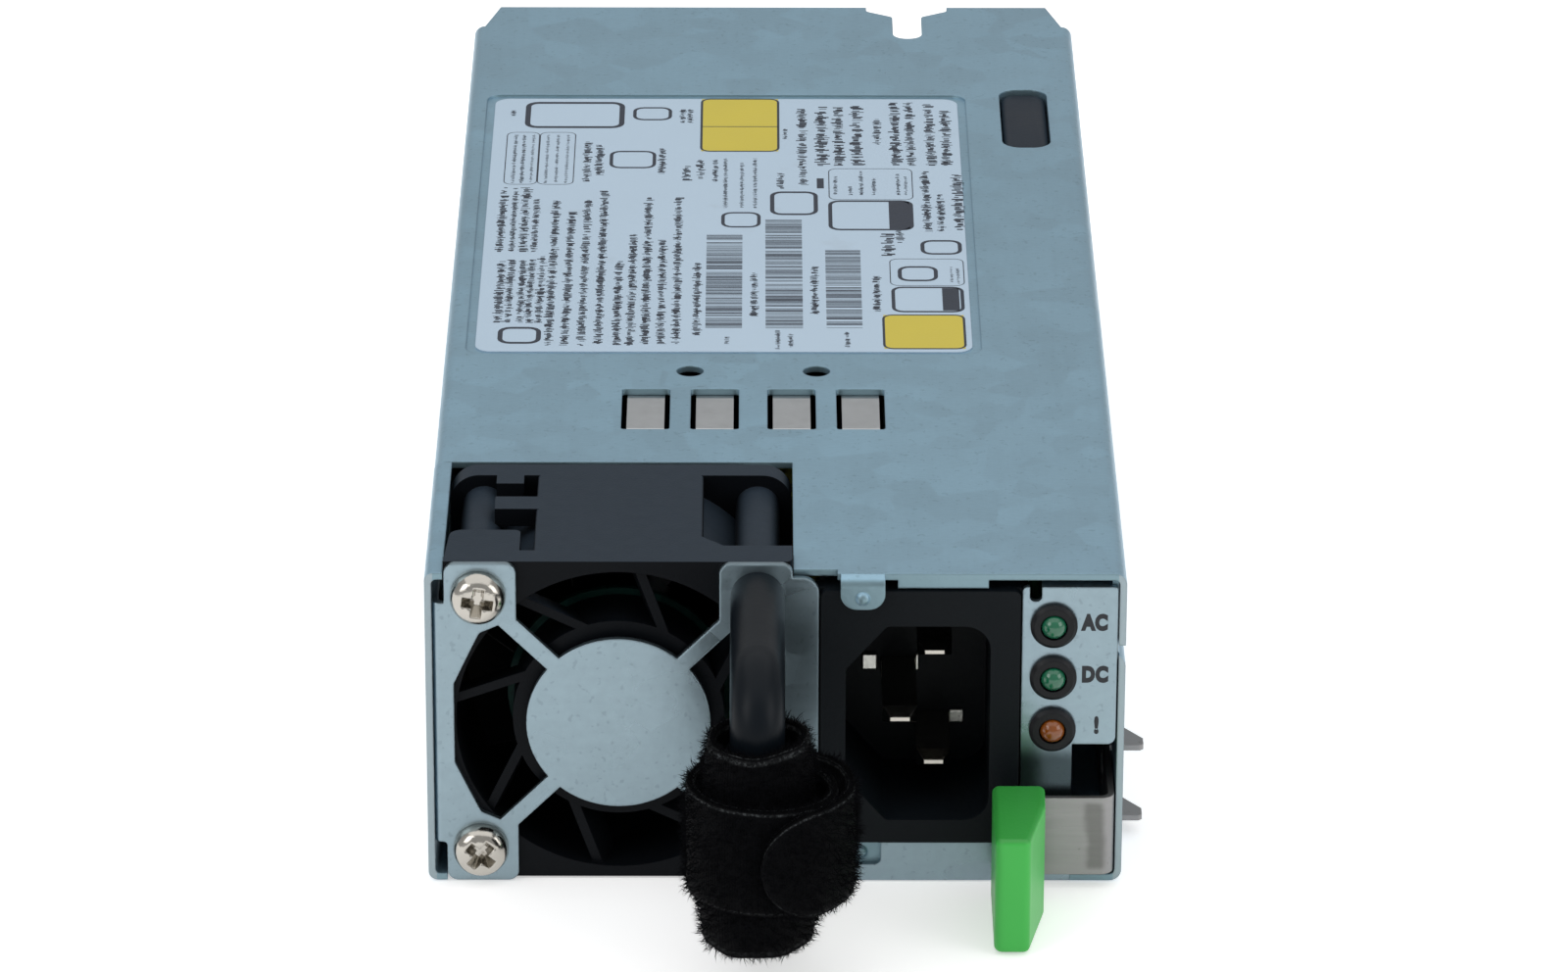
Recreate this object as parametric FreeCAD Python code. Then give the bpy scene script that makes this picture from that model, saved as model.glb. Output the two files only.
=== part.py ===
"""Hot swap server power supply in a sheet metal case, drawn in millimetres.

X runs to the right as seen from the front, Y from the front to the back, Z up.
Everything is drawn with y = 0 on the outer face of the face plate and z = 0 on the
underside of the case. save() moves it so that y = 0 is half way along the case.
"""
import FreeCAD, Part
import math
import os

V = FreeCAD.Vector

# Case
case_width = 80.4
case_height = 39.0
case_length = 187.7
sheet = 0.8
bend = 0.6
weld_gap = 0.1
rear_lip = 7.5
rear_corner = 3.3
lap_height = 30.0
lap_gap = 0.05
skirt_gap = 0.4
left_flange = 2.1
case_screw_front = 70.0
case_screw_rear = 37.7

# Fan bay and face plate
fan_size = 40.0
fan_depth = 28.0
screw_edge = 4.0
fan_inset = 2.13
fan_rise = 0.1
fan_bay_length = 32.1
hub_disc = 10.6
board_rim = 0.8
spoke_width = 1.9
ear_width = 8.3
ear_radius = 1.2
plate_gap = 0.2
column_width = 3.05
post_corner = 1.9
post_rise = 0.2
roof_setback = 1.2
tab_inset = 5.0
led_panel_drop = 1.7
led_panel_side = 0.2
led_panel_foot = 17.5
latch_window = 6.0
strip_height = 4.9

# Power inlet, a three pole appliance inlet turned on its side
inlet_width = 23.3
inlet_height = 32.0
inlet_depth = 21.0
cavity_width = 16.6
cavity_height = 24.6
cavity_depth = 16.5
cavity_inset = 3.2
pin_width = 4.0
pin_thick = 2.0
pin_pitch = 14.0
pin_shift = 4.0
line_tip = 4.2
earth_tip = 0.9
terminal_length = 8.0

# Signal lamps
lamp_inset = 8.3
lamp_drop = 6.4
lamp_pitch = 6.55
bezel_radius = 2.7
lamp_radius = 1.5

# Windows and slots of the cover
window_width = 5.8
window_near = 4.6
window_far = 12.87
window_start = 42.0
window_length = 12.3
window_centre = -2.6
pilot_radius = 1.65
pilot_y = 59.9
pilot_pitch = 15.3
oval_width = 6.3
oval_length = 21.2
oval_rear = 31.4
oval_inset = 7.35
label_depth = 0.3
label_thick = 0.15
label_width = 60.9
label_length = 86.9
label_start = 66.3
label_x = -6.2
recess_margin = 1.0
key_width = 3.9
key_x = 18.05
key_length = 12.1
key_mouth = 10.9

# Handle and cable strap
grip_radius = 3.1
core_radius = 2.0
grip_reach = 26.0
grip_bend = 6.0
strap_bore = 4.5
strap_thick = 1.3
strap_height = 22.8
tail_height = 12.8
tail_drop = 0.6
strap_foot = 8.0
tail_gap = 1.5

# Latch
latch_thick = 0.7
latch_height = 9.8
latch_foot = 1.6
latch_front = 1.7
latch_bend = 1.6
latch_pivot = 85.0
tooth_start = 12.6
tooth_proud = 2.95
tooth_tip = 1.9
tooth_length = 7.5
tooth_gap = 0.9
tongue_x = 27.9
tongue_length = 11.0
grip_tab_height = 14.3
grip_tab_foot = 0.1
grip_tab_length = 15.0
grip_tab_gap = 4.2

# Fan parts
bore_wall = 1.3
duct_wall = 1.0
flange_depth = 3.2
boss_radius = 2.6
screw_hole = 1.65
pad_width = 19.4
hub_radius = 11.8
hub_depth = 17.0
blade_tip_gap = 0.5
blade_count = 7
strut_count = 8
cup_radius = 12.2
cup_depth = 7.5
shaft_radius = 1.5
rotor_gap = 0.6
motor_board = 1.0
motor_start = 0.8

# Boards and rear end
board_thick = 1.6
board_rise = 4.0
board_start = 33.5
board_gap = 1.4
latch_swing = 6.7
grille_inset = 15.7
grille_lip = 6.0
tongue_width = 52.0
tongue_inset = 2.4
hex_across = 4.2
hex_pitch = 5.3
film = 0.25

# Parts on the main board
choke_radius = 9.5
choke_bore = 3.6
choke_height = 14.0
choke_row = 23.3
choke_space = 2.0
fuse_radius = 3.2
fuse_length = 22.0
small_box = 14.0
large_box = 22.0
box_depth = 8.0
box_height = 15.0
relay_width = 13.5
relay_depth = 12.0
relay_height = 15.5
can_radius = 12.4
can_setback = 0.216
part_space = 1.0
heatsink_plate = 2.6
fin_depth = 3.4
fin_thick = 1.2
fin_pitch = 3.6
fin_count = 6
transistor_width = 10.0
transistor_thick = 3.4
transistor_height = 14.0
transistor_pitch = 12.0
magnetics_width = 20.0
ferrite_width = 16.0
ferrite_yoke = 4.0
ferrite_leg = 3.0
core_depth = 0.272
core_leg = 6.0
bar_thick = 1.2
bar_length = 18.0
bar_rise = 14.0
bar_depth = 7.0
small_can = 4.0
small_can_height = 11.5
small_can_pitch = 9.0
small_can_rows = 2
output_room = 28.0
head_room = 8.6
control_length = 46.0
control_thick = 1.2

# Worked out from the sizes above
half = case_width / 2
inner = half - sheet
roof = case_height - sheet
wall_rear = case_length - rear_lip
latch_window_side = half - latch_window
lamp_column = half - lamp_inset
lamp_top = case_height - lamp_drop
oval_x = half - oval_inset
oval_start = case_length - oval_rear - oval_length
key_start = case_length - key_length
strap_middle = strap_foot + strap_height / 2
board_side = inner - board_gap
latch_room = half - latch_swing
grille_y = case_length - grille_inset
tongue_end = case_length - tongue_inset
fan_pitch = fan_size - 2 * screw_edge
bore_radius = fan_size / 2 - bore_wall
fan_x = -half + fan_inset + fan_size / 2
fan_z = fan_rise + fan_size / 2
fan_right = fan_x + fan_size / 2
screw_left = fan_x - fan_pitch / 2
screw_right = fan_x + fan_pitch / 2
inlet_left = fan_right + column_width
inlet_right = inlet_left + inlet_width
inlet_top = strip_height + inlet_height
cavity_right = inlet_right - cavity_inset - 0.4
cavity_x = cavity_right - cavity_width / 2
cavity_z = strip_height + inlet_height / 2 - 0.7
motor_board_y = sheet + motor_start + cup_depth
rotor_y = motor_board_y + motor_board + 0.4
board_top = board_rise + board_thick
tall = roof - board_top - head_room
output_y = grille_y - output_room
heatsink_y = output_y - fin_depth - heatsink_plate
magnetics_x = board_side - 1.0 - magnetics_width
relay_y = board_start + choke_row + choke_radius + part_space
room = heatsink_y - relay_y - relay_depth
can_y = heatsink_y - room * (1 - can_setback)
ferrite_depth = room * core_depth
winding_room = (tall - core_leg) / 2 - ferrite_yoke
latch_top = latch_foot + latch_height
latch_out = inner - 0.2
grip_z_top = fan_z + fan_pitch / 2
grip_z_low = fan_z - fan_pitch / 2
NORMALS = {"XY": V(0, 0, 1), "XZ": V(0, 1, 0), "YZ": V(1, 0, 0)}


def at(plane, level, a, b):
    """The point (a, b) of a plane at its level."""
    if plane == "XY":
        return V(a, b, level)
    if plane == "XZ":
        return V(a, level, b)
    return V(level, a, b)


def corner(before, point, after, radius):
    """Start, middle and end of the arc that rounds a corner, in two dimensions."""
    back = math.dist(before, point)
    on = math.dist(point, after)
    u = ((before[0] - point[0]) / back, (before[1] - point[1]) / back)
    w = ((after[0] - point[0]) / on, (after[1] - point[1]) / on)
    cosine = max(-1.0, min(1.0, u[0] * w[0] + u[1] * w[1]))
    angle = math.acos(cosine)
    run = min(radius / math.tan(angle / 2), 0.49 * back, 0.49 * on)
    radius = run * math.tan(angle / 2)
    reach = radius / math.sin(angle / 2) - radius
    m = (u[0] + w[0], u[1] + w[1])
    size = math.hypot(*m)
    start = (point[0] + u[0] * run, point[1] + u[1] * run)
    middle = (point[0] + m[0] / size * reach, point[1] + m[1] / size * reach)
    end = (point[0] + w[0] * run, point[1] + w[1] * run)
    return start, middle, end


def outline(points, plane, level):
    """A closed wire through points (a, b) or (a, b, corner radius)."""
    edges = []
    stops = []
    count = len(points)
    for i, point in enumerate(points):
        radius = point[2] if len(point) > 2 else 0
        flat = point[:2]
        if radius > 0:
            before = points[i - 1][:2]
            after = points[(i + 1) % count][:2]
            stops.append(corner(before, flat, after, radius))
        else:
            stops.append((flat, None, flat))
    for i, (start, middle, end) in enumerate(stops):
        if middle:
            arc = Part.Arc(at(plane, level, *start), at(plane, level, *middle), at(plane, level, *end))
            edges.append(arc.toShape())
        following = stops[(i + 1) % count][0]
        if math.dist(end, following) > 1e-6:
            line = Part.LineSegment(at(plane, level, *end), at(plane, level, *following))
            edges.append(line.toShape())
    return Part.Wire(edges)


def prism(points, plane, level, depth):
    """An outline pushed out along the normal of its plane."""
    return Part.Face(outline(points, plane, level)).extrude(NORMALS[plane] * depth)


def rectangle(a0, a1, b0, b1, radius=0):
    return [(a0, b0, radius), (a1, b0, radius), (a1, b1, radius), (a0, b1, radius)]


def box(x, y, z):
    """A block between pairs of coordinates."""
    return Part.makeBox(x[1] - x[0], y[1] - y[0], z[1] - z[0], V(x[0], y[0], z[0]))


def rod(start, axis, radius, length):
    return Part.makeCylinder(radius, length, V(*start), V(*axis))


def ring(start, axis, outer, bore, length):
    return rod(start, axis, outer, length).cut(rod(start, axis, bore, length))


def union(shapes):
    """One solid out of shapes that touch or overlap."""
    first = shapes[0]
    if len(shapes) > 1:
        first = first.fuse(shapes[1:]).removeSplitter()
    return first


def less(shape, tools):
    return shape.cut(tools) if tools else shape


def group(shapes):
    return Part.makeCompound(shapes)


def beside(points, distance):
    """The path parallel to a path, at a distance to the left of its direction."""
    lines = []
    for (a0, b0), (a1, b1) in zip(points, points[1:]):
        run = math.hypot(a1 - a0, b1 - b0)
        na = -(b1 - b0) / run * distance
        nb = (a1 - a0) / run * distance
        lines.append((a0 + na, b0 + nb, a1 + na, b1 + nb))
    path = [lines[0][:2]]
    for (a, b, c, d), (e, f, g, h) in zip(lines, lines[1:]):
        cross = (c - a) * (h - f) - (d - b) * (g - e)
        share = ((e - a) * (h - f) - (f - b) * (g - e)) / cross
        path.append((a + share * (c - a), b + share * (d - b)))
    path.append(lines[-1][2:])
    return path


def bent(points, thick, radius, plane, level, depth):
    """Bent sheet along a path, its thickness to the left and each bend rounded."""
    inside = beside(points, thick)
    wide = radius + abs(thick)
    near = [points[0]]
    far = [inside[0]]
    for i in range(1, len(points) - 1):
        (a, b), (c, d), (e, f) = points[i - 1:i + 2]
        left = (c - a) * (f - d) - (d - b) * (e - c) > 0
        towards = left == (thick > 0)
        near.append((c, d, wide if towards else radius))
        far.append((*inside[i], radius if towards else wide))
    near.append(points[-1])
    far.append(inside[-1])
    return prism(near + far[::-1], plane, level, depth)


def save(node, shape):
    """Writes one piece, moved so that the middle of the case is at y = 0."""
    moved = shape.copy()
    moved.translate(V(0, -case_length / 2, 0))
    moved.exportStep("parts/" + node + ".step")


# Sheet metal case

def lap(side):
    """The wall of the tray up to its inset tongue, from the floor to the top."""
    inset = half - sheet - lap_gap
    turn = lap_height - skirt_gap - sheet
    return [(side * half, turn - sheet), (side * inset, turn), (side * inset, roof - skirt_gap)]


def chassis():
    """The tray: floor, walls with inset tongues, fan bay, latch slots and lugs."""
    left = lap(-1)[::-1] + [(-half, 0)]
    right = [(half, 0)] + lap(1)
    rear = bent(left + right, sheet, bend, "XZ", fan_bay_length, wall_rear - fan_bay_length)
    strip = fan_x - fan_size / 2 + 0.07
    fan_wall = [(-half + left_flange, case_height), (-half, case_height), (-half, 0), (strip, 0)]
    wall = bent(fan_wall, sheet, bend, "XZ", 0, fan_bay_length - weld_gap)
    floor_left = fan_right + 0.3
    corner_part = bent([(floor_left, 0)] + right, sheet, bend, "XZ", sheet, fan_bay_length - sheet)
    edge_part = bent([(latch_window_side, 0)] + right, sheet, bend, "XZ", 0, sheet)
    lip = [(half - bend - sheet, wall_rear), (half - rear_corner, case_length)]
    lip += [(-half + rear_corner, case_length), (-half + bend + sheet, wall_rear)]
    parts = [rear, wall, corner_part, edge_part, prism(lip, "XY", 0, sheet), front_lug()]
    joined = union(parts)
    link = box((-half + bend + sheet, strip), (fan_bay_length - weld_gap, fan_bay_length), (0, sheet))
    cuts = [tooth_slot(z) for z in tooth_levels()] + rivet_holes()
    cuts.append(box((latch_window_side, inner), (-1, sheet + weld_gap), (led_panel_foot, case_height)))
    return less(union([joined, link]), cuts)


def front_lug():
    """The bent up lug with a dimple that holds the foot of the inlet."""
    x = inlet_left + tab_inset
    path = [(6.0, 0), (sheet, 0), (sheet, strip_height - 0.2)]
    lug = bent(path, -sheet, bend, "YZ", x - 2.5, 5.0)
    dimple = Part.makeSphere(0.9, V(x, sheet * 1.5, strip_height - 1.6))
    return lug.fuse(dimple.common(box((x - 2, x + 2), (0, sheet * 1.4), (0, strip_height))))


def tooth_levels():
    return [latch_foot + latch_thick / 2, latch_top - latch_thick / 2]


def tooth_slot(z):
    y = (tooth_start - tooth_gap, tooth_start + tooth_length + tooth_gap)
    reach = latch_thick / 2 + 0.3
    return prism(rectangle(*y, z - reach, z + reach, 0.3), "YZ", inner - 0.1, sheet + 0.2)


def rivet_places():
    y = latch_pivot - 4.0
    middle = latch_foot + latch_height / 2
    return [(y, middle - 2.7), (y, middle + 2.7)]


def rivet_holes():
    return [rod((inner - 0.1, y, z), (1, 0, 0), 0.9, sheet + 0.2) for y, z in rivet_places()]


def case_screw_places():
    z = (lap_height + roof) / 2
    return [(side, y, z) for side in (-1, 1) for y in (case_screw_front, case_length - case_screw_rear)]


def cover():
    """The lid: roof and short skirts, formed label recess, windows and rear key slot."""
    path = [(half, lap_height), (half, case_height), (-half, case_height), (-half, lap_height)]
    shell = bent(path, sheet, bend, "XZ", 0, wall_rear)
    lip = [(half - bend - sheet, wall_rear), (half - rear_corner, case_length)]
    lip += [(-half + rear_corner, case_length), (-half + bend + sheet, wall_rear)]
    recess = label_plan(recess_margin)
    tray = prism(label_plan(recess_margin + sheet), "XY", roof - label_depth, sheet)
    shell = union([shell, prism(lip, "XY", roof, sheet), tray, inlet_tab(), inlet_lip()] + oval_lips())
    bay = box((-half - 1, fan_right + 0.1), (-1, fan_bay_length), (0, case_height + 1))
    setback = box((fan_right, inlet_left + tab_inset - 2.9), (-1, roof_setback), (0, case_height + 1))
    cuts = [bay, setback, prism(recess, "XY", case_height - label_depth, 1)]
    cuts += [prism(window(x), "XY", roof - 1, 3) for x in window_places()]
    for x in (-pilot_pitch / 2, pilot_pitch / 2):
        cuts.append(rod((window_centre + x, pilot_y, roof - 1), (0, 0, 1), pilot_radius, 3))
    cuts.append(prism(oval_plan(0), "XY", roof - 3, 5))
    cuts.append(prism(key_plan(), "XY", roof - 1, 3))
    for side, y, z in case_screw_places():
        cuts.append(rod((side * (inner - 0.1), y, z), (side, 0, 0), 1.65, sheet + 0.2))
    return less(shell, cuts)


def label_plan(margin):
    x = (label_x - label_width / 2 - margin, label_x + label_width / 2 + margin)
    y = (label_start - margin, label_start + label_length + margin)
    return rectangle(*x, *y, 2.0)


def window_places():
    return [window_centre + x for x in (-window_far, -window_near, window_near, window_far)]


def window(x):
    return rectangle(x - window_width / 2, x + window_width / 2, window_start, window_start + window_length, 0.4)


def oval_plan(margin):
    x = (oval_x - oval_width / 2 - margin, oval_x + oval_width / 2 + margin)
    return rectangle(*x, oval_start - margin, oval_start + oval_length + margin, 2.4 + margin)


def oval_lips():
    """The rim turned down all round the oval slot."""
    return [prism(oval_plan(sheet * 0.7), "XY", roof - 1.6, 1.6)]


def key_plan():
    """The keyed slot at the rear edge, with its wide mouth."""
    narrow = key_width / 2
    wide = key_mouth / 2
    mouth = case_length - 3.7
    x = key_x
    return [(x - narrow, key_start, narrow * 0.95), (x + narrow, key_start, narrow * 0.95),
            (x + narrow, mouth, 0.8), (x + wide, mouth + 2.2, 0.8), (x + wide, case_length + 1),
            (x - wide, case_length + 1), (x - wide, mouth + 2.2, 0.8), (x - narrow, mouth, 0.8)]


def inlet_tab():
    """The tab turned down in front of the inlet, with the dimple that holds it."""
    x = inlet_left + tab_inset
    low = case_height - 4.0
    path = [(sheet * 2, case_height), (-sheet - 0.4, case_height), (-sheet - 0.4, low)]
    tab = bent(path, sheet, bend, "YZ", x - 2.55, 5.1)
    foot = prism(rectangle(x - 2.55, x + 2.55, low, case_height + 3, 1.9), "XZ", -3, 6)
    dimple = Part.makeSphere(0.9, V(x, -sheet - 0.1, low + 1.4))
    return tab.common(foot).fuse(dimple.common(box((x - 2, x + 2), (-3, -0.7), (low, case_height))))


def inlet_lip():
    """The rolled edge of the roof over the middle of the inlet."""
    path = [(sheet * 3, case_height), (0, case_height), (0, inlet_top + 0.3)]
    return bent(path, sheet, 0.7, "YZ", inlet_left + 9.0, 10.4)


def face_plate():
    """The front plate: fan guard with disc and spokes, inlet frame and lamp panel."""
    top = fan_z + fan_size / 2
    left = -inner
    bottom = prism(rectangle(left, latch_window_side, 0, strip_height), "XZ", 0, sheet)
    column = (fan_right + 0.02, inlet_left)
    guard = prism(rectangle(left, column[0], 0.0, top), "XZ", 0, sheet)
    high = roof + post_rise
    post = prism([(column[0] - 2, 0), (column[1], 0), (column[1], high, post_corner), (column[0] - 2, high)],
                 "XZ", 0, sheet)
    guard = less(guard, [box((left - 1, left + bend + sheet), (-1, 3), (-1, top + 1))])
    plate = union([guard, post, bottom, lamp_panel()])
    plate = union([less(plate, plate_cuts(left, top)), return_flange()])
    disc = rod((fan_x, 0, fan_z), (0, 1, 0), hub_disc, sheet)
    plate = union([plate, disc] + spokes())
    holes = []
    for x in (screw_left, screw_right):
        for z in (grip_z_low, grip_z_top):
            holes.append(rod((x, -0.1, z), (0, 1, 0), screw_hole, sheet + 0.2))
    return less(plate, holes)


def plate_cuts(left, top):
    """Openings of the fan guard, the notches beside its ears and the inlet frame."""
    scale = fan_size / 40.0
    side = [(13.4, 12.5, 0.6), (15.9, 11.4, 0.6), (17.2, 8.7, 0.6), (18.9, 5.0, 0.6)]
    ring_points = [(x, z, r) for x, z, r in side] + [(x, -z, r) for x, z, r in side[::-1]]
    ring_points += [(-x, -z, r) for x, z, r in side] + [(-x, z, r) for x, z, r in side[::-1]]
    ring_points = [(fan_x + x * scale, fan_z + z * scale, r) for x, z, r in ring_points]
    cuts = [prism(ring_points, "XZ", -1, 3)]
    gap = fan_size / 2 - ear_width - 0.05
    open_way = rectangle(fan_x - gap, fan_x + gap, -1, top + 1)
    cuts.append(prism(open_way, "XZ", -1, 3))
    ear_edge = fan_x - fan_size / 2 + 0.12
    for z in ((-1, strip_height), (top - strip_height, top + 1)):
        cuts.append(prism(rectangle(left - 1, ear_edge, *z, 0.5), "XZ", -1, 3))
    for side_x in (ear_edge, fan_x - gap, fan_x + gap):
        turn = -1 if side_x == ear_edge else 1
        cuts += ear_corners(side_x, top, turn if side_x != fan_x + gap else -1)
    right_ear = fan_right + 0.02
    high = roof + post_rise
    cuts.append(box((right_ear, right_ear + 9), (-1, 3), (high, high + fan_size)))
    cuts += ear_corners(right_ear, top, 1)[:1]
    cuts.append(prism(rectangle(inlet_left, inlet_right, strip_height, top + 2), "XZ", -1, 3))
    lug = inlet_left + tab_inset
    cuts.append(prism(rectangle(lug - 3.6, lug + 2.3, 2.0, strip_height + 1, 0.8), "XZ", -1, 3))
    return cuts


def ear_corners(x, top, turn):
    """Small pieces cut off the ear's outer corners so that they are round."""
    r = ear_radius
    pieces = []
    for z, up in ((top, 1), (0.0, -1)):
        block = box(sorted((x, x - turn * r)), (-1, 3), sorted((z, z - up * r)))
        pieces.append(block.cut(rod((x - turn * r, -1, z - up * r), (0, 1, 0), r, 4)))
    return pieces


def spokes():
    """Four flat spokes at 45 degrees from the disc to the screws."""
    made = []
    reach = fan_pitch / 2 * math.sqrt(2) - 3.0
    for k in range(4):
        angle = 45 + 90 * k
        flat = box((hub_disc - 1.0, reach), (0, sheet), (-spoke_width / 2, spoke_width / 2))
        flat.rotate(V(0, 0, 0), V(0, -1, 0), angle)
        flat.translate(V(fan_x, 0, fan_z))
        made.append(flat)
    return made


def lamp_panel():
    """Panel with three holes for the lamps, its side post and the flange at its top."""
    right = inner - led_panel_side
    top = roof - led_panel_drop + 0.8
    slot = inlet_right + 1.5
    start = slot + 0.7
    end = inner - lap_gap - sheet - plate_gap
    panel = prism([(inlet_right, led_panel_foot - 13), (latch_window_side, led_panel_foot - 13),
                   (latch_window_side, led_panel_foot), (right, led_panel_foot, 1.0), (right, top, 0.3),
                   (inlet_right, top, 0.6)], "XZ", 0, sheet)
    shelf = bent([(0, top - 3), (0, top), (8.0, top)], -sheet, bend, "YZ", start, end - start)
    cut = prism(rectangle(slot - 0.7, slot + 0.7, top - 1.8, top + 1, 0.6), "XZ", -1, 3)
    holes = [rod((lamp_column, -1, z), (0, 1, 0), bezel_radius - 0.35, 3) for z in lamp_levels()]
    return less(union([panel, shelf]), holes + [cut])


def lamp_levels():
    return [lamp_top - k * lamp_pitch for k in range(3)]


def return_flange():
    """The left edge of the plate, bent back along the wall of the tray."""
    low = strip_height
    high = fan_z + fan_size / 2 - strip_height
    path = [(-inner, 8.0), (-inner, 0), (fan_x - fan_size / 2 + 0.5, 0)]
    return bent(path, sheet, bend, "XY", low, high - low)


def rear_grille():
    """The perforated end wall between the floor and the roof, with the card slot."""
    path = [(grille_y + grille_lip, sheet), (grille_y, sheet), (grille_y, roof - 0.1),
            (grille_y + grille_lip, roof - 0.1)]
    width = 2 * (inner - lap_gap - sheet - 0.1)
    plate = bent(path, -sheet, bend, "YZ", -width / 2, width)
    holes = []
    rows = int((roof - board_top - 9) / (hex_pitch * 0.866))
    columns = int((width - 9) / hex_pitch)
    for row in range(rows):
        z = board_top + 6.5 + row * hex_pitch * 0.866
        shift = 0 if row % 2 else hex_pitch / 2
        for column in range(columns):
            x = (column - (columns - 1) / 2) * hex_pitch + shift - hex_pitch / 4
            holes.append(hexagon(x, z, grille_y - 1))
    slot = (-tongue_width / 2 - 0.4, tongue_width / 2 + 0.4)
    holes.append(box(slot, (grille_y - 1, grille_y + 3), (board_rise - 0.4, board_top + 0.4)))
    return less(plate, [group(holes)])


def hexagon(x, z, y):
    """A six sided hole."""
    reach = hex_across / math.sqrt(3)
    points = [(x + reach * math.sin(math.radians(60 * k)), z + reach * math.cos(math.radians(60 * k)))
              for k in range(6)]
    return prism(points, "XZ", y, 3)


# Fan

def fan_frame():
    """The moulded housing: duct, flanges, screw bosses, side pads, vanes and motor cup."""
    y0 = sheet
    centre = (fan_x, y0, fan_z)
    reach = fan_size / 2
    duct = rod(centre, (0, 1, 0), bore_radius + duct_wall, fan_depth)
    square = rectangle(fan_x - reach, fan_x + reach, fan_z - reach, fan_z + reach, 3.4)
    front = prism(square, "XZ", y0, flange_depth)
    back = prism(square, "XZ", y0 + fan_depth - flange_depth, flange_depth)
    body = [duct, front, back]
    for turn in range(4):
        pad = prism([(-pad_width / 2, 0), (pad_width / 2, 0), (pad_width / 2, reach, 0.4),
                     (-pad_width / 2, reach, 0.4)], "XZ", y0, fan_depth)
        pad.rotate(V(0, 0, 0), V(0, 1, 0), 90 * turn)
        pad.translate(V(fan_x, 0, fan_z))
        body.append(pad)
    body += cable_guides(y0, reach)
    for x in (screw_left, screw_right):
        for z in (grip_z_low, grip_z_top):
            body.append(rod((x, y0, z), (0, 1, 0), boss_radius, fan_depth))
    shell = union(body)
    cuts = [rod((fan_x, y0 - 1, fan_z), (0, 1, 0), bore_radius, fan_depth + 2)]
    for x in (screw_left, screw_right):
        for z in (grip_z_low, grip_z_top):
            cuts.append(rod((x, y0 - 1, z), (0, 1, 0), screw_hole - 0.15, fan_depth + 2))
    return union([less(shell, cuts), motor_cup(y0)] + vanes(y0))


def cable_guides(y0, reach):
    """Blocks and hooks in the left pocket of the top side that hold the lead."""
    top = fan_z + reach
    low = fan_z + reach * 0.6
    left = fan_x - reach
    pad = fan_x - pad_width / 2
    block = prism([(left, y0), (pad - 1.6, y0), (pad - 1.6, y0 + 9.0, 0.8), (left + 0.6, y0 + 9.0, 1.5)],
                  "XY", low, top - low)
    hook = box((pad - 4.8, pad + 1), (y0 + 15.0, y0 + 18.6), (top - 2.2, top))
    nib = box((pad - 4.8, pad - 1.6), (y0 + 22.4, y0 + 25.2), (top - 2.2, top))
    right = fan_x + pad_width / 2
    wedge = prism([(right - 1, y0), (fan_x + reach, y0, 1.0), (fan_x + reach, y0 + 4.6), (right + 2.4, y0 + 4.6),
                   (right - 1, y0 + 8.0)], "XY", low, top - low)
    return [block, hook, nib, wedge]


def motor_cup(y0):
    """The dish that carries the motor, with the tube for the bearings."""
    y = y0 + motor_start
    dish = rod((fan_x, y, fan_z), (0, 1, 0), cup_radius, cup_depth)
    hollow = rod((fan_x, y + 1.2, fan_z), (0, 1, 0), cup_radius - 0.9, cup_depth)
    tube = rod((fan_x, y, fan_z), (0, 1, 0), 3.9, hub_depth + 4)
    bore = rod((fan_x, y + 1.2, fan_z), (0, 1, 0), 3.0, hub_depth + 5)
    return less(union([less(dish, [hollow]), tube]), [bore])


def vanes(y0):
    """Eight swept guide vanes between the motor dish and the duct."""
    made = []
    for k in range(strut_count):
        start = math.radians(62 + 360 / strut_count * k)
        end = start + math.radians(21)
        a = cup_radius - 0.6
        b = bore_radius + 0.5
        foot = V(fan_x + a * math.cos(start), y0 + motor_start, fan_z + a * math.sin(start))
        head = V(fan_x + b * math.cos(end), y0 + motor_start, fan_z + b * math.sin(end))
        side = (head - foot).cross(V(0, 1, 0))
        side.normalize()
        side = side * 0.55
        lean = V(0, 5.2, 0) + side * 2.2
        low = Part.makePolygon([foot - side, head - side, head + side, foot + side, foot - side])
        high = low.copy()
        high.translate(lean)
        made.append(Part.makeLoft([low, high], True, True))
    return made


def blade(angle):
    """One twisted blade from the hub to just short of the duct."""
    sections = []
    y = rotor_y + hub_depth / 2 - 0.3
    root = hub_radius - 0.5
    tip = bore_radius - blade_tip_gap
    for radius, lead, chord in ((root, 46.0, 15.4), ((root + tip) / 2, 40.0, 15.0), (tip, 35.0, 14.6)):
        slope = math.radians(lead)
        half_chord = chord / 2
        points = []
        for share, thick, bow in ((-1, 0.18, 0), (0, 0.62, 1.5), (1, 0.15, 0), (0, -0.62, 1.5)):
            run = half_chord * share
            lift = bow + thick
            along = run * math.cos(slope) - lift * math.sin(slope)
            depth = run * math.sin(slope) + lift * math.cos(slope)
            points.append((along, y + depth))
        ring_edges = []
        placed = [V(a, d, radius) for a, d in points]
        ring_edges.append(Part.Arc(placed[0], placed[1], placed[2]).toShape())
        ring_edges.append(Part.Arc(placed[2], placed[3], placed[0]).toShape())
        sections.append(Part.Wire(ring_edges))
    made = Part.makeLoft(sections, True, False)
    made.rotate(V(0, 0, 0), V(0, 1, 0), angle)
    made.translate(V(fan_x, 0, fan_z))
    return made


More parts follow.
